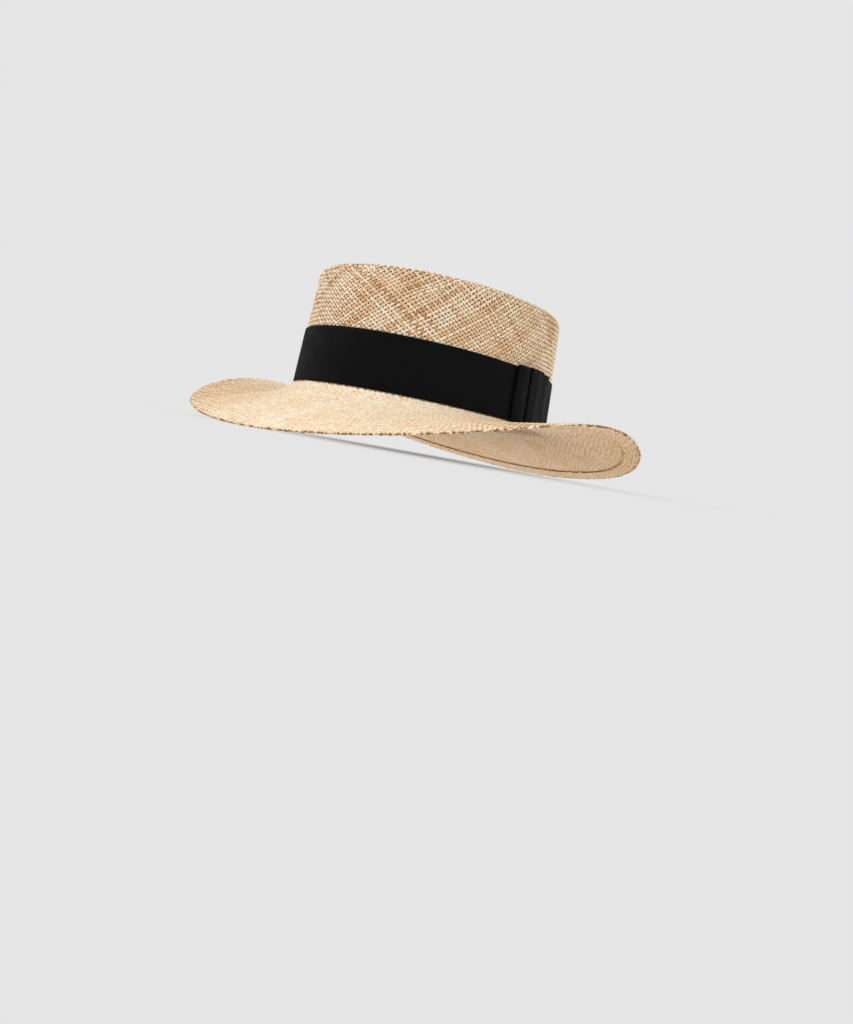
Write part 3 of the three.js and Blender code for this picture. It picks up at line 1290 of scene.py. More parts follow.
class Effect(ABC):
    """A shader node group that more than one material uses."""

    NAME: ClassVar[str]
    INPUTS: ClassVar[dict[str, str]]
    OUTPUTS: ClassVar[dict[str, str]] = {"Color": "Color", "Roughness": "Float", "Height": "Float"}

    def group(self) -> bpy.types.NodeTree:
        """Builds the group, with its named inputs and outputs.

        Returns:
            The group.
        """
        group = bpy.data.node_groups.new(self.NAME, "ShaderNodeTree")
        for direction, sockets in (("INPUT", self.INPUTS), ("OUTPUT", self.OUTPUTS)):
            for label, kind in sockets.items():
                group.interface.new_socket(label, in_out=direction, socket_type="NodeSocket" + kind)
        graph = Graph(group)
        given = graph.add("NodeGroupInput").outputs
        graph.feed(graph.add("NodeGroupOutput"), self.draw(graph, given))
        return group

    @abstractmethod
    def draw(self, graph: Graph, given: Any) -> dict[str, bpy.types.NodeSocket]:
        """Draws the group's nodes.

        Args:
            graph: the group's graph.
            given: what its inputs put out inside it.

        Returns:
            What feeds each of its outputs.
        """


@dataclass(frozen=True)
class FibreGrain(Effect):
    """The straw's colour along and across a strand, from its tone, with a grain and painted shade at its
    edges.

    Attributes:
        own: spreads the strands' marks over the noise.
        streak_along: the scale of the fibres along a strand.
        streak_across: their scale across it.
        patch_along: the scale of the blush along a strand.
        to_tan: the tones between which pale turns to tan.
        to_russet: the tones between which tan turns to russet.
        to_deep: the tones between which russet turns to the dark brown of painted shade.
        to_blush: the values of the noise between which the blush comes in.
        blush: the blush's greatest share.
        fibre: the values of the noise between which the roughness changes.
        roughness: the roughness at either end of those.
    """

    own: float = 7.31
    streak_along: float = 0.22
    streak_across: float = 1.9
    patch_along: float = 0.06
    to_tan: Range = (0.05, 0.55)
    to_russet: Range = (0.5, 1.0)
    to_deep: Range = (1.0, 2.0)
    to_blush: Range = (0.56, 0.68)
    blush: float = 0.55
    fibre: Range = (0.2, 0.8)
    roughness: Range = (0.62, 0.42)

    NAME = "straw_fibre"
    INPUTS = {
        "Tone": "Float",
        "Run": "Vector",
        "Pale": "Color",
        "Tan": "Color",
        "Russet": "Color",
        "Deep": "Color",
        "Blush": "Color",
        "Rim": "Color",
        "Rolled": "Float",
        "Grain": "Float",
    }

    def draw(self, graph: Graph, given: Any) -> dict[str, bpy.types.NodeSocket]:
        """Draws the group's nodes.

        Args:
            graph: the group's graph.
            given: what its inputs put out inside it.

        Returns:
            What feeds each of its outputs.
        """
        along, across, mark = graph.add("ShaderNodeSeparateXYZ", {0: given["Run"]}).outputs
        own = graph.math("MULTIPLY", mark, self.own)
        streak_along = graph.math("MULTIPLY", along, self.streak_along)
        streak = graph.noise((streak_along, graph.math("MULTIPLY", across, self.streak_across), own))
        patch = graph.noise((graph.math("MULTIPLY", along, self.patch_along), 0.0, own))
        shift = graph.math("MULTIPLY", graph.math("SUBTRACT", streak, 0.5), given["Grain"])
        tone = graph.math("ADD", given["Tone"], shift)
        colour = graph.mix(graph.ease(tone, *self.to_tan), given["Pale"], given["Tan"])
        colour = graph.mix(graph.ease(tone, *self.to_russet), colour, given["Russet"])
        colour = graph.mix(graph.ease(patch, *self.to_blush, 0.0, self.blush), colour, given["Blush"])
        # painted shade: tones above 1 turn towards dark brown
        colour = graph.mix(graph.ease(tone, *self.to_deep), colour, given["Deep"])
        # painted shade: a strand's edges are multiplied by the rim colour, so it looks rounded
        rolled = graph.ease(graph.math("ABSOLUTE", across), given["Rolled"], 1.0)
        return {
            "Color": graph.mix(rolled, colour, given["Rim"], "MULTIPLY"),
            "Roughness": graph.ease(streak, *self.fibre, *self.roughness),
            "Height": streak,
        }


@dataclass(frozen=True)
class RibbonThreads(Effect):
    """The fine threads of a ribbed ribbon, which run along it, with a faint uneven dye.

    Attributes:
        fuzz_along: the scale of the fuzz along the ribbon.
        fuzz_across: its scale across it.
        fuzz_detail: how fine the fuzz is.
        cloud_along: the scale of the uneven dye along the ribbon.
        cloud_across: its scale across it.
        cloud_layer: the layer of the noise that it is read in.
        fuzz: the values of the noise between which the fuzz shows.
        cloud: the values of the noise between which the dye changes.
        worn: the share of worn dye at either end of those.
        roughness: the roughness there.
        ridge: the height of the threads against the fuzz.
    """

    fuzz_along: float = 0.9
    fuzz_across: float = 2.4
    fuzz_detail: float = 3.0
    cloud_along: float = 0.05
    cloud_across: float = 0.08
    cloud_layer: float = 5.0
    fuzz: Range = (0.35, 0.75)
    cloud: Range = (0.3, 0.7)
    worn: Range = (0.35, 1.0)
    roughness: Range = (0.5, 0.64)
    ridge: float = 0.5

    NAME = "grosgrain_threads"
    INPUTS = {"Run": "Vector", "Dye": "Color", "Worn": "Color", "Thread": "Float"}

    def draw(self, graph: Graph, given: Any) -> dict[str, bpy.types.NodeSocket]:
        """Draws the group's nodes.

        Args:
            graph: the group's graph.
            given: what its inputs put out inside it.

        Returns:
            What feeds each of its outputs.
        """
        along, across, _ = graph.add("ShaderNodeSeparateXYZ", {0: given["Run"]}).outputs
        threads = graph.math("SINE", graph.math("MULTIPLY", across, given["Thread"]))
        fuzz_place = [
            graph.math("MULTIPLY", along, self.fuzz_along),
            graph.math("MULTIPLY", across, self.fuzz_across),
        ]
        cloud_place = [
            graph.math("MULTIPLY", along, self.cloud_along),
            graph.math("MULTIPLY", across, self.cloud_across),
        ]
        fuzz = graph.noise((*fuzz_place, 0.0), self.fuzz_detail)
        cloud = graph.noise((*cloud_place, self.cloud_layer))
        worn = graph.ease(cloud, *self.cloud, *self.worn)
        share = graph.math("MULTIPLY", graph.ease(fuzz, *self.fuzz), worn)
        return {
            "Color": graph.mix(share, given["Dye"], given["Worn"]),
            "Roughness": graph.ease(cloud, *self.cloud, *self.roughness),
            "Height": graph.math("ADD", graph.math("MULTIPLY", threads, self.ridge), fuzz),
        }


class Finish(ABC):
    """The look of one material, which places a shared effect with its own values."""

    name: str
    specular: float
    bump: float
    bump_depth: float

    @abstractmethod
    def inputs(self, graph: Graph) -> dict[str, Any]:
        """Gives what goes into the shared effect."""

    def uniform(self) -> dict[str, float]:
        """Gives the shader's values that are the same all over."""
        return {"Specular IOR Level": self.specular}

    def material(self, effect: bpy.types.NodeTree) -> bpy.types.Material:
        """Makes the material.

        Args:
            effect: the shared effect's group.

        Returns:
            The material.
        """
        made = bpy.data.materials.new(self.name)
        made.use_nodes = True
        graph = Graph(made.node_tree)
        look = graph.add("ShaderNodeGroup", self.inputs(graph), node_tree=effect).outputs
        bump = graph.add(
            "ShaderNodeBump",
            {"Strength": self.bump, "Distance": self.bump_depth * MM, "Height": look["Height"]},
        )
        surface = {
            "Base Color": look["Color"],
            "Roughness": look["Roughness"],
            "Normal": bump.outputs["Normal"],
        }
        shader = graph.add("ShaderNodeBsdfPrincipled", surface | self.uniform())
        graph.add("ShaderNodeOutputMaterial", {"Surface": shader.outputs[0]})
        return made


@dataclass(frozen=True)
class StrawFinish(Finish):
    """The look of one kind of straw.

    Attributes:
        name: the material's name.
        pale: the colour of the lightest strands.
        tan: the colour of most strands.
        russet: the colour of the darkest strands.
        deep: the dark brown of painted shade, on the brim's folded edge and on faces that look down or
            in.
        blush: the colour of the pink patches along a strand.
        rim: what the colour is multiplied by at a strand's edges, a painted shade that makes it look
            rounded.
        rolled: how far from a strand's middle that painted shade starts.
        grain: how much the fibres change the tone.
        specular: the shader's specular level.
        bump: the strength of the fibres' relief.
        bump_depth: the depth of that relief.
    """

    name: str
    pale: Colour
    tan: Colour
    russet: Colour
    deep: Colour
    blush: Colour
    rim: Colour
    rolled: float
    grain: float
    specular: float = 0.35
    bump: float = 0.25
    bump_depth: float = 0.2

    def inputs(self, graph: Graph) -> dict[str, Any]:
        """Gives the strand's tone and run, the colours and the painted shade at its edges.

        Args:
            graph: the material's graph.

        Returns:
            What goes into the shared effect.
        """
        colours = {
            "Pale": self.pale,
            "Tan": self.tan,
            "Russet": self.russet,
            "Deep": self.deep,
            "Blush": self.blush,
            "Rim": self.rim,
        }
        values: dict[str, Any] = {label: (*colour, 1.0) for label, colour in colours.items()}
        values |= {"Rolled": self.rolled, "Grain": self.grain}
        values["Tone"] = graph.attribute(STRAW_TONE, "Fac")
        values["Run"] = graph.attribute(STRAW_RUN, "Vector")
        return values


@dataclass(frozen=True)
class RibbonFinish(Finish):
    """The look of one ribbon.

    Attributes:
        name: the material's name.
        dye: the ribbon's colour.
        worn: its colour where the fuzz shows.
        thread: how close together the threads lie.
        specular: the shader's specular level.
        sheen: its sheen.
        sheen_roughness: how soft that sheen is.
        bump: the strength of the threads' relief.
        bump_depth: the depth of that relief.
    """

    name: str
    dye: Colour
    worn: Colour
    thread: float = 11.0
    specular: float = 0.06
    sheen: float = 0.02
    sheen_roughness: float = 0.4
    bump: float = 0.3
    bump_depth: float = 0.1

    def inputs(self, graph: Graph) -> dict[str, Any]:
        """Gives the place on the ribbon, the dyes and the threads.

        Args:
            graph: the material's graph.

        Returns:
            What goes into the shared effect.
        """
        return {
            "Run": graph.attribute(RIBBON_RUN, "Vector"),
            "Dye": (*self.dye, 1.0),
            "Worn": (*self.worn, 1.0),
            "Thread": self.thread,
        }

    def uniform(self) -> dict[str, float]:
        """Adds the sheen to the shader's values that are the same all over."""
        sheen = {"Sheen Weight": self.sheen, "Sheen Roughness": self.sheen_roughness}
        return super().uniform() | sheen


@dataclass(frozen=True)
class Grosgrain:
    """The cut of the ribbon: its ribs run across it and make small teeth along its edges.

    Attributes:
        rib: the distance between ribs.
        rib_rise: half the height of the ribs.
        tooth: how far the teeth stand out.
        columns: the points along the ribbon for each rib.
    """

    rib: float = 1.2
    rib_rise: float = 0.07
    tooth: float = 0.22
    columns: int = 4

    # shares of the bake's map that are left free round the ribbon, and where its end caps lie there
    SIDE_MARGIN: ClassVar[float] = 0.01
    ROW_MARGIN: ClassVar[float] = 0.03
    CAP_BREADTH: ClassVar[float] = 0.006
    CAP_STARTS: ClassVar[Range] = (0.001, 0.992)

    def points(self, length: float) -> int:
        """Gives the number of points along a closed ribbon, which has a whole number of ribs."""
        return round(length / self.rib) * self.columns

    def ribs(self, along: Array | float) -> Array:
        """Gives how high the ribbon's face stands on its ribs, from -1 to 1."""
        return np.cos(math.tau * along / self.rib)

    def rungs(self, tall: float, selvedge: float, plain: float, rows: int) -> Array:
        """Gives the heights of the rows of points up a ribbon.

        Args:
            tall: the ribbon's height.
            selvedge: the breadth of the edges that have the teeth.
            plain: how far from the edges the rows between start.
            rows: how many rows there are between.

        Returns:
            The heights, from edge to edge.
        """
        between = np.linspace(plain, tall - plain, rows)
        return np.concatenate([[0.0, selvedge], between, [tall - selvedge, tall]])

    def teeth(self, along: Array, up: float, tall: float) -> Array:
        """Gives how far the teeth carry the edge that is nearest to a height."""
        return self.tooth * (0.5 + 0.5 * self.ribs(along)) * (1 if up > tall / 2 else -1)

    def loft(self, name: str, sections: Array, runs: Array, goes_round: bool) -> bpy.types.Object:
        """Makes a closed mesh through sections that are closed loops.

        Args:
            name: the piece's name.
            sections: points, by section and place in the loop.
            runs: for each point, the distance along the ribbon and across it.
            goes_round: whether the last section joins the first, or both ends are capped.

        Returns:
            The object.
        """
        count, size = sections.shape[:2]
        bays = count if goes_round else count - 1
        here = np.arange(bays * size).reshape(bays, size)
        after = (here + size) % (count * size)
        sides = [here, after, np.roll(after, -1, axis=1), np.roll(here, -1, axis=1)]
        faces = [np.stack(sides, axis=-1).reshape(-1, 4)]
        across = self.SIDE_MARGIN + (1 - 2 * self.SIDE_MARGIN) * np.arange(bays + 1) / bays
        up = self.ROW_MARGIN + (1 - 2 * self.ROW_MARGIN) * np.arange(size + 1) / size
        maps = [cell_maps(across, up)]
        if not goes_round:
            faces.append(np.stack([np.arange(size), (count - 1) * size + np.arange(size)[::-1]]))
            for start, rows in zip(self.CAP_STARTS, (up[:-1], up[:-1][::-1])):
                maps.append(cap_map(start, self.CAP_BREADTH, rows))
        made = make_object(name, sections.reshape(-1, 3), faces, np.concatenate(maps))
        flat = runs.reshape(-1, 2)
        set_values(made, RIBBON_RUN, np.column_stack([flat, np.zeros(len(flat))]))
        return made


RIBBON = Grosgrain()


@dataclass
class Band(Assembly):
    """The ribbon round the foot of the crown.

    Attributes:
        bottom: the height of its lower edge.
        height: how tall it is.
        outside: how far its face stands outside the crown's oval.
        thickness: its thickness.
        rows: the rows of points between its selvedges.
        selvedge: the breadth of the edges that have the teeth.
        plain: how far from the edges the rows between start.
        rounding: how far its very edges are turned in.
        hug: how much closer it lies to the crown at its edges.
        hug_reach: how far from them that fades.
    """

    bottom: float = 0.4
    height: float = 36.0
    outside: float = 0.5
    thickness: float = 0.7
    rows: int = 5
    selvedge: float = 0.22
    plain: float = 2.0
    rounding: float = 0.3
    hug: float = 0.12
    hug_reach: float = 1.2

    SLOT = "band_ribbon"

    def build(self) -> bpy.types.Object:
        """Makes the band's mesh.

        Returns:
            The object.
        """
        count = RIBBON.points(self.length())
        turn = even_turn(np.arange(count) / count, FORM.half_width, FORM.half_length)
        along = np.arange(count) * RIBBON.rib / RIBBON.columns
        ribs = RIBBON.rib_rise * RIBBON.ribs(along)
        sections, runs = [], []
        for up in RIBBON.rungs(self.height, self.selvedge, self.plain, self.rows):
            edge = min(up, self.height - up)
            lift = self.outside + ribs - self.hug * math.exp(-edge / self.hug_reach)
            lift = lift - (self.rounding if edge == 0 else 0.0)
            tooth = RIBBON.teeth(along, up, self.height) if edge <= self.selvedge else 0.0
            sections.append(FORM.oval(turn, self.bottom + up + tooth, lift))
            runs.append(np.column_stack([along, np.full(count, up)]))
        for up in (self.height, 0.0):
            sections.append(FORM.oval(turn, self.bottom + up, self.outside - self.thickness))
            runs.append(np.column_stack([along, np.full(count, up)]))
        return RIBBON.loft("hat_band_ribbon", np.stack(sections, axis=1), np.stack(runs, axis=1), True)

    def length(self) -> float:
        """Gives the ribbon's length round the crown."""
        turn = np.linspace(0, math.tau, OVAL_STEPS)
        return distances(FORM.oval(turn, self.bottom + self.height / 2, self.outside))[-1]


@dataclass
class Bow(Assembly):
    """The flat bow on the wearer's left: a loop of ribbon along the band, with a pleated knot.

    Attributes:
        turn: where the middle of the knot is.
        bottom: the height of the loop's lower edge.
        top: the height of its upper edge.
        face: how far the band's face stands outside the crown's oval.
        thickness: the loop's thickness.
        inner_leg: how far its inner leg lies off the band's face.
        pinched_leg: how far its outer leg lies off it under the knot.
        belly: how much further the outer leg stands out beside the knot.
        side_loop: how far the loop reaches past the knot.
        rows: the rows of points between its selvedges.
        selvedge: the breadth of the edges that have the teeth.
        plain: how far from the edges the rows between start.
        rounding: how far its very edges are thinned.
        flatter: the height of the loop's ribs, as a share of the band's.
        knot_width: the knot's width.
        knot_plate: its thickness.
        knot_swell: how far it swells in its middle.
        gap: the room between the knot and the loop.
        lip: the thickness of what is turned in over the loop's top and foot.
        tuck: how far it is tucked in behind the band's face at the top.
        creases: the pleats in its face.
    """

    turn: float = math.radians(94.3)
    bottom: float = 1.5
    top: float = 37.4
    face: float = 0.5
    thickness: float = 0.6
    inner_leg: float = 0.6
    pinched_leg: float = 1.9
    belly: float = 0.7
    side_loop: float = 13.5
    rows: int = 7
    selvedge: float = 0.3
    plain: float = 2.5
    rounding: float = 0.15
    flatter: float = 0.6
    knot_width: float = 17.0
    knot_plate: float = 0.8
    knot_swell: float = 0.3
    gap: float = 0.3
    lip: float = 0.7
    tuck: float = 0.7
    creases: tuple[tuple[float, float, float, float], ...] = (
        # place across the knot, lean over its height, depth, breadth
        (-0.2, 0.1, 0.16, 0.06),
        (0.24, -0.08, 0.2, 0.07),
    )

    SLOT = "bow_ribbon"
    LEG_STEPS: ClassVar[int] = 120
    BEND_STEPS: ClassVar[int] = 12
    KNOT_STEPS: ClassVar[int] = 41

    def at(self, along: Array, height: Array | float, off: Array) -> Array:
        """Gives points along the band from the middle of the knot, off the band's face."""
        rate = math.hypot(FORM.half_width * math.cos(self.turn), FORM.half_length * math.sin(self.turn))
        return FORM.oval(self.turn + along / rate, height, self.face + off)

    def path(self) -> tuple[Array, Array]:
        """Draws the loop's middle line.

        Returns:
            Evenly spaced places along the band and off its face, and their distances along the ribbon.
        """
        radius = (self.pinched_leg - self.inner_leg) / 2
        back = self.knot_width / 2 + self.side_loop - radius
        legs = np.linspace(-back, back, self.LEG_STEPS)
        past = np.maximum(np.abs(legs) - self.knot_width / 2, 0)
        angles = np.linspace(0, math.pi, self.BEND_STEPS)[1:-1]
        reach, depth = back + radius * np.sin(angles), radius * np.cos(angles)
        inner = np.column_stack([legs, np.full_like(legs, self.inner_leg)])
        rear = np.column_stack([reach, self.inner_leg + radius - depth])
        outer = self.pinched_leg + self.belly * np.sin(math.pi * past / self.side_loop)
        outer = np.column_stack([legs, outer])[::-1]
        front = np.column_stack([-reach, self.inner_leg + radius + depth])
        closed = np.concatenate([inner, rear, outer, front, inner[:1]])
        far = distances(closed)
        count = RIBBON.points(far[-1])
        steps = np.arange(count) / count * far[-1]
        return np.column_stack([np.interp(steps, far, closed[:, i]) for i in (0, 1)]), steps

    def build_loop(self) -> bpy.types.Object:
        """Makes the loop's mesh.

        Returns:
            The object.
        """
        line, along = self.path()
        tangent = unit(np.roll(line, -1, axis=0) - np.roll(line, 1, axis=0))
        side = np.column_stack([-tangent[:, 1], tangent[:, 0]])
        ribs = self.flatter * RIBBON.rib_rise * RIBBON.ribs(along)
        tall = self.top - self.bottom
        rungs = RIBBON.rungs(tall, self.selvedge, self.plain, self.rows)
        sections, runs = [], []
        for way, heights in ((-1, rungs), (1, rungs[::-1])):
            for up in heights:
                edge = min(up, tall - up)
                half = self.thickness / 2 + ribs - (self.rounding if edge == 0 else 0.0)
                spot = line + side * (way * half)[:, None]
                tooth = RIBBON.teeth(along, up, tall) if edge <= self.selvedge else 0.0
                sections.append(self.at(spot[:, 0], self.bottom + up + tooth, spot[:, 1]))
                runs.append(np.column_stack([along, np.full_like(along, up)]))
        return RIBBON.loft("bow_ribbon_loop", np.stack(sections, axis=1), np.stack(runs, axis=1), True)

    def pleat(self, across: float, up: float) -> float:
        """Gives how far the knot's face stands out or sinks in its creases.

        Args:
            across: the place across the knot, from -0.5 to 0.5.
            up: the place up the knot, from 0 to 1.

        Returns:
            The rise of the face.
        """
        rise = self.knot_swell * math.cos(math.pi * across)
        for place, lean, depth, breadth in self.creases:
            rise -= depth * math.exp(-(((across - place - lean * (up - 0.5)) / breadth) ** 2))
        return rise

    def build_knot(self) -> bpy.types.Object:
        """Makes the knot's mesh: a strip gathered in pleats, turned in over the loop's top and foot.

        Returns:
            The object.
        """
        inside = self.pinched_leg + self.thickness / 2 + self.gap
        face, corner = inside + self.knot_plate, inside + self.knot_plate / 2
        low, high = self.bottom - self.gap, self.top + self.gap
        foot, head = low - self.lip, high + self.lip
        outline = [(low, self.gap), (foot, self.gap), (foot, corner)]
        outline += [(height, face) for height in np.arange(low, high, RIBBON.rib / RIBBON.columns)]
        outline += [(head, corner), (head, -self.tuck), (high, -self.tuck), (high, inside), (low, inside)]
        sections, runs = [], []
        for share in np.linspace(-0.5, 0.5, self.KNOT_STEPS):
            ring = []
            for height, off in outline:
                if off > inside:
                    off += RIBBON.rib_rise * RIBBON.ribs(height)
                    off += self.pleat(share, (height - low) / (high - low))
                ring.append((share * self.knot_width, height, off))
            along, heights, offs = np.array(ring).T
            sections.append(self.at(along, heights, offs))
            runs.append(np.column_stack([heights, along]))
        return RIBBON.loft("bow_ribbon_knot", np.stack(sections), np.stack(runs), False)


@dataclass
class HemStitching(Assembly):
    """The thread that holds the hem's cut edge, a row of brown stitches tucked in beside it under the
    brim, which also stands in for the shadow in the gap there: painted shade.

    Attributes:
        brim: the sheet that is sewn.
        beside: how far past the cut edge the row lies.
        lift: how far it is tucked in.
        stitch: the length of a stitch.
        space: the usual space between stitches.
        radius: half the thread's thickness.
        tone: the thread's tone.
        mark_step: how much the grain's start moves from stitch to stitch.
        shape: the shape of a stitch.
    """

    brim: BrimSheet
    beside: float = 0.35
    lift: float = 0.35
    stitch: float = 4.4
    space: float = 0.8
    radius: float = 0.32
    tone: float = 0.5
    mark_step: float = 0.37
    shape: tuple[Triple, ...] = (
        # share of the length, share of the radius, height
        (0.0, 0.7, 0.25),
        (0.25, 1.0, -0.05),
        (0.5, 1.05, -0.12),
        (0.75, 1.0, -0.05),
        (1.0, 0.7, 0.25),
    )

    SLOT = "brim_straw"
    LINE_STEPS: ClassVar[int] = 6001

    def build(self) -> bpy.types.Object:
        """Makes all the stitches as one mesh.

        Returns:
            The object.
        """
        line = self.line(np.linspace(0, math.tau, self.LINE_STEPS))
        far = distances(line)
        count = int(far[-1] / (self.stitch + self.space))
        step = far[-1] / count
        bundle = StrandBundle(Profile.ROLLED)
        share, breadth, height = np.array(self.shape).T
        normals = np.tile(np.array([0, 0, -1.0]), (len(share), 1))
        tone = np.full((len(share), len(bundle.section)), self.tone)
        for number in range(count):
            stops = number * step + share * self.stitch
            points = np.column_stack([np.interp(stops, far, line[:, i]) for i in range(3)])
            points[:, 2] += height
            bundle.add(points, normals, self.radius * breadth, self.radius, tone, number * self.mark_step)
        return bundle.build("brim_hem_stitches")

    def line(self, turn: Array) -> Array:
        """Draws the stitch line, between the hem's cut edge and the underside of the brim.

        Args:
            turn: angles round the brim.

        Returns:
            The points of the line.
        """
        brim = self.brim
        points, normals = brim.lay(turn, brim.rim(turn) + brim.fold + brim.hem + self.beside)
        return points - normals * self.lift


@dataclass
class Studio:
    """A pale floor in an evenly lit room, a broad key light, a fill and the camera.

    Attributes:
        eye: where the photograph's camera was, in the part's frame.
        right: the way to the right in the photograph.
        up: the way up in it.
        aim: what the camera keeps in its place when it is lifted.
        eye_height: the height that it is lifted to.
        lens: its focal length.
        sensor: the size of its sensor.
        clip: the nearest and the farthest distance that it sees, in metres.
        floor_colour: the paper's own colour.
        floor_roughness: its roughness.
        floor_glow: the strength of its light from within.
        floor_steps: the corners of the round floor.
        floor_rings: how the glow changes from under the crown outwards; it is dimmed under the crown, a
            painted shadow.
        room: the strength of the room's even light.
        lights: the lamps.
    """

    eye: Triple = (376.27, -467.83, -2.9)
    right: Triple = (0.77484, 0.60714, 0.17607)
    up: Triple = (-0.17773, -0.05805, 0.98237)
    aim: Triple = (0.0, 0.0, 55.0)
    eye_height: float = 7.0
    lens: float = 28.62
    sensor: float = 36.0
    clip: Range = (0.005, 50.0)
    floor_colour: Colour = (0.2, 0.2, 0.2)
    floor_roughness: float = 0.9
    floor_glow: float = 0.589
    floor_steps: int = 96
    floor_rings: tuple[Range, ...] = (
        # radius in metres, share of the glow; less glow near the middle is painted shadow
        (0.02, 0.45),
        (0.06, 0.55),
        (0.1, 0.85),
        (0.14, 1.0),
        (4.0, 1.0),
    )
    room: float = 0.79
    lights: tuple[tuple[str, Triple, float, float], ...] = (
        # name, way towards it, strength, breadth in degrees
        ("key_light", (-0.55, -0.6, 0.75), 0.8, 50.0),
        ("fill_light", (0.9, -0.35, 0.35), 0.4, 60.0),
    )

    def build_floor(self) -> None:
        """Makes the round floor, lit from within, with a soft painted shadow under the hat's crown where
        its glow is dimmed.
        """
        steps = self.floor_steps
        angles = np.arange(steps) / steps * math.tau
        round_once = np.column_stack([np.cos(angles), np.sin(angles), np.zeros(steps)])
        points = np.concatenate([radius * round_once for radius, _ in self.floor_rings])
        faces: list[tuple[int, ...]] = [tuple(range(steps))]
        for inner in range(0, len(points) - steps, steps):
            pairs = [(inner + i, inner + (i + 1) % steps) for i in range(steps)]
            faces += [(a, steps + a, steps + b, b) for a, b in pairs]
        mesh = bpy.data.meshes.new("studio_floor")
        mesh.from_pydata(points.tolist(), [], faces)
        floor = bpy.data.objects.new("studio_floor", mesh)
        bpy.context.scene.collection.objects.link(floor)
        set_values(floor, FLOOR_GLOW, np.repeat([share for _, share in self.floor_rings], steps))
        mesh.materials.append(self.paper())

    def paper(self) -> bpy.types.Material:
        """Makes the floor's matt paper, which meets the room without a line.

        Returns:
            The material.
        """
        made = bpy.data.materials.new("studio_paper")
        made.use_nodes = True
        graph = Graph(made.node_tree)
        glow = graph.attribute(FLOOR_GLOW, "Fac")
        shader = graph.add(
            "ShaderNodeBsdfPrincipled",
            {
                "Base Color": (*self.floor_colour, 1.0),
                "Roughness": self.floor_roughness,
                "Specular IOR Level": 0.0,
                "Emission Color": graph.mix(glow, (0.0, 0.0, 0.0, 1.0), (1.0, 1.0, 1.0, 1.0)),
                "Emission Strength": self.floor_glow,
            },
        )
        graph.add("ShaderNodeOutputMaterial", {"Surface": shader.outputs[0]})
        return made

    def add_sun(self, name: str, source: Triple, strength: float, breadth: float) -> None:
        """Adds a light that is as soft as it is broad.

        Args:
            name: its name.
            source: the way towards it.
            strength: its strength.
            breadth: how broad it looks, in degrees.
        """
        lamp = bpy.data.lights.new(name, "SUN")
        lamp.energy, lamp.angle = strength, math.radians(breadth)
        made = bpy.data.objects.new(name, lamp)
        made.rotation_mode = "QUATERNION"
        made.rotation_quaternion = Vector(source).to_track_quat("Z", "Y")
        bpy.context.scene.collection.objects.link(made)

    def light(self) -> None:
        """Sets the lights and the even light of the room."""
        for lamp in self.lights:
            self.add_sun(*lamp)
        world = bpy.data.worlds.new("studio_room")
        world.use_nodes = True
        background = world.node_tree.nodes["Background"]
        background.inputs["Color"].default_value = (1.0, 1.0, 1.0, 1.0)
        background.inputs["Strength"].default_value = self.room
        bpy.context.scene.world = world
        bpy.context.scene.view_settings.view_transform = "Standard"

    def set_camera(self) -> None:
        """Sets the camera at the photograph's angle, lifted just above the floor to keep its aim."""
        eye, aim = Vector(self.eye), Vector(self.aim)
        raised = Vector((eye.x, eye.y, self.eye_height))
        turn = (aim - eye).rotation_difference(aim - raised).to_matrix()
        right, up = turn @ Vector(self.right), turn @ Vector(self.up)
        axes = Matrix((right, up, right.cross(up))).transposed()
        lens = bpy.data.cameras.new("camera")
        lens.lens, lens.sensor_width, lens.sensor_fit = self.lens, self.sensor, "AUTO"
        lens.clip_start, lens.clip_end = self.clip
        made = bpy.data.objects.new("camera", lens)
        made.matrix_world = Matrix.Translation(raised * MM) @ axes.to_4x4()
        bpy.context.scene.collection.objects.link(made)
        bpy.context.scene.camera = made
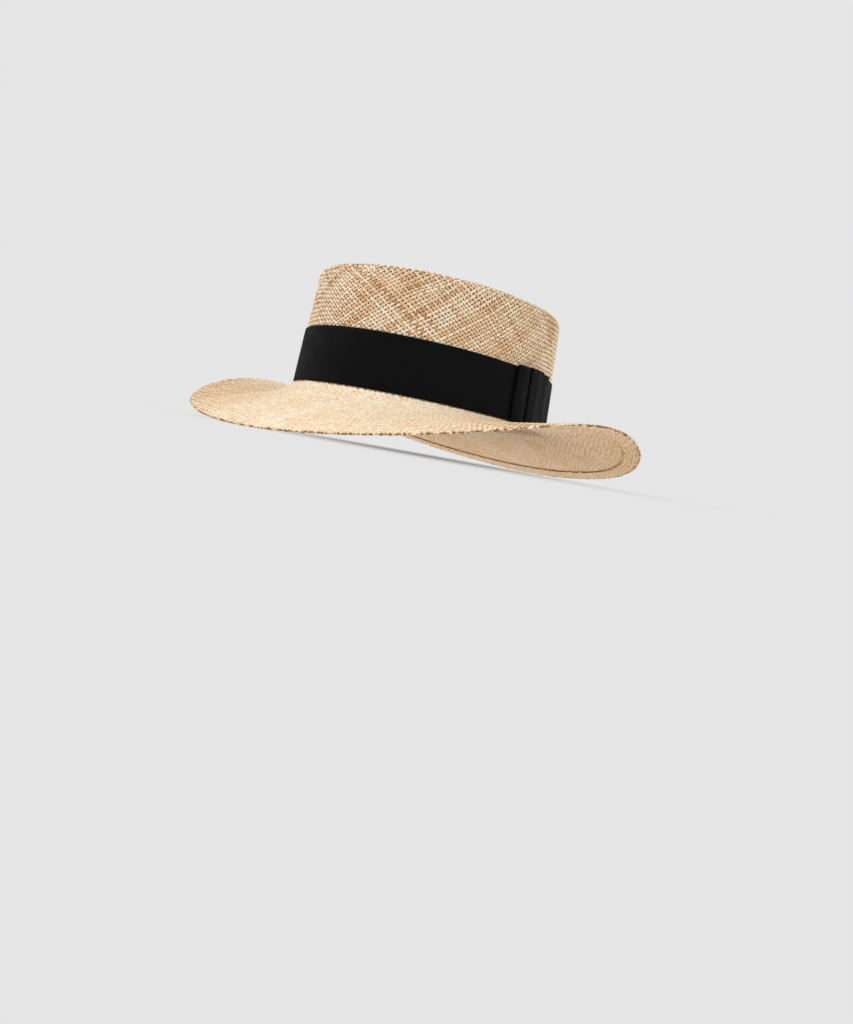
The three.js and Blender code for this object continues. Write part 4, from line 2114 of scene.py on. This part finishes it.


# The darkest brown of each straw finish is painted shade: on the brim's folded edge and on faces that
# look down or in.
# The rim colour and where it starts paint shade on each strand's edges.
CROWN_STRAW = StrawFinish(
    name="crown_straw",
    pale=linear(255, 241, 213),
    tan=linear(238, 203, 160),
    russet=linear(200, 146, 98),
    deep=linear(124, 84, 52),
    blush=linear(240, 208, 182),
    rim=(0.55, 0.42, 0.3),
    rolled=0.4,
    grain=0.45,
)
BRIM_STRAW = StrawFinish(
    name="brim_straw",
    pale=linear(255, 241, 215),
    tan=linear(250, 226, 194),
    russet=linear(244, 204, 158),
    deep=linear(140, 105, 69),
    blush=linear(248, 221, 196),
    rim=(0.86, 0.785, 0.67),
    rolled=0.7,
    grain=0.35,
)
# The hem thread's browns: a thread's own colour, and a painted shade that stands in for the shadow in the
# gap at the hem's cut edge.
HEM_THREAD = StrawFinish(
    name="hem_thread",
    pale=linear(168, 122, 78),
    tan=linear(138, 94, 56),
    russet=linear(104, 68, 40),
    deep=linear(80, 52, 30),
    blush=linear(146, 100, 64),
    rim=(0.8, 0.75, 0.7),
    rolled=0.4,
    grain=0.6,
)
BAND_RIBBON = RibbonFinish(name="band_ribbon", dye=linear(8, 8, 9), worn=linear(13, 13, 14))
BOW_RIBBON = RibbonFinish(name="bow_ribbon", dye=linear(10, 10, 11), worn=linear(16, 16, 17))

# In each style, two values paint shade: on faces that look down, and on the strands' inner faces.
CROWN_STYLE = WeaveStyle(
    profile=Profile.ROLLED,
    pitch=2.3,
    cover=0.75,
    rise=0.5,
    half_thick=0.42,
    wander=0.2,
    uneven=0.1,
    patch=22.0,
    cloud=0.14,
    spread=1.0,
    fleck=0.0,
    dusk=0.0,
    inner=0.6,
    seed=16,
)
BRIM_STYLE = WeaveStyle(
    profile=Profile.FLAT,
    pitch=2.2,
    cover=0.96,
    rise=0.13,
    half_thick=0.14,
    wander=0.42,
    uneven=0.3,
    patch=40.0,
    cloud=0.08,
    spread=0.5,
    fleck=0.5,
    dusk=0.42,
    inner=0.0,
    seed=23,
)


def main() -> None:
    """Builds the studio and the hat."""
    logging.basicConfig(level=logging.INFO, format="%(name)s: %(message)s")
    studio = Studio()
    studio.set_camera()
    studio.build_floor()
    studio.light()

    fibre, threads = FibreGrain().group(), RibbonThreads().group()
    crown_straw, brim_straw = CROWN_STRAW.material(fibre), BRIM_STRAW.material(fibre)
    hem_thread = HEM_THREAD.material(fibre)
    band_black, bow_black = BAND_RIBBON.material(threads), BOW_RIBBON.material(threads)

    sheet = BrimSheet()
    crown, brim = CrownWeave(CrownBody(), CROWN_STYLE), BrimWeave(sheet, BRIM_STYLE)
    for family in Family:
        way = family.name.lower()
        crown.dress(crown.build(family, f"crown_{way}"), crown_straw, "crown")
        brim.dress(brim.build(family, f"brim_{way}"), brim_straw, "brim")
    stitching = HemStitching(sheet)
    stitching.dress(stitching.build(), hem_thread)

    band, bow = Band(), Bow()
    ribbon = band.dress(band.build(), band_black, "hat_band")
    loop = bow.dress(bow.build_loop(), bow_black, "bow_loop")
    knot = bow.dress(bow.build_knot(), bow_black, "bow_knot")


if __name__ == "__main__":
    main()
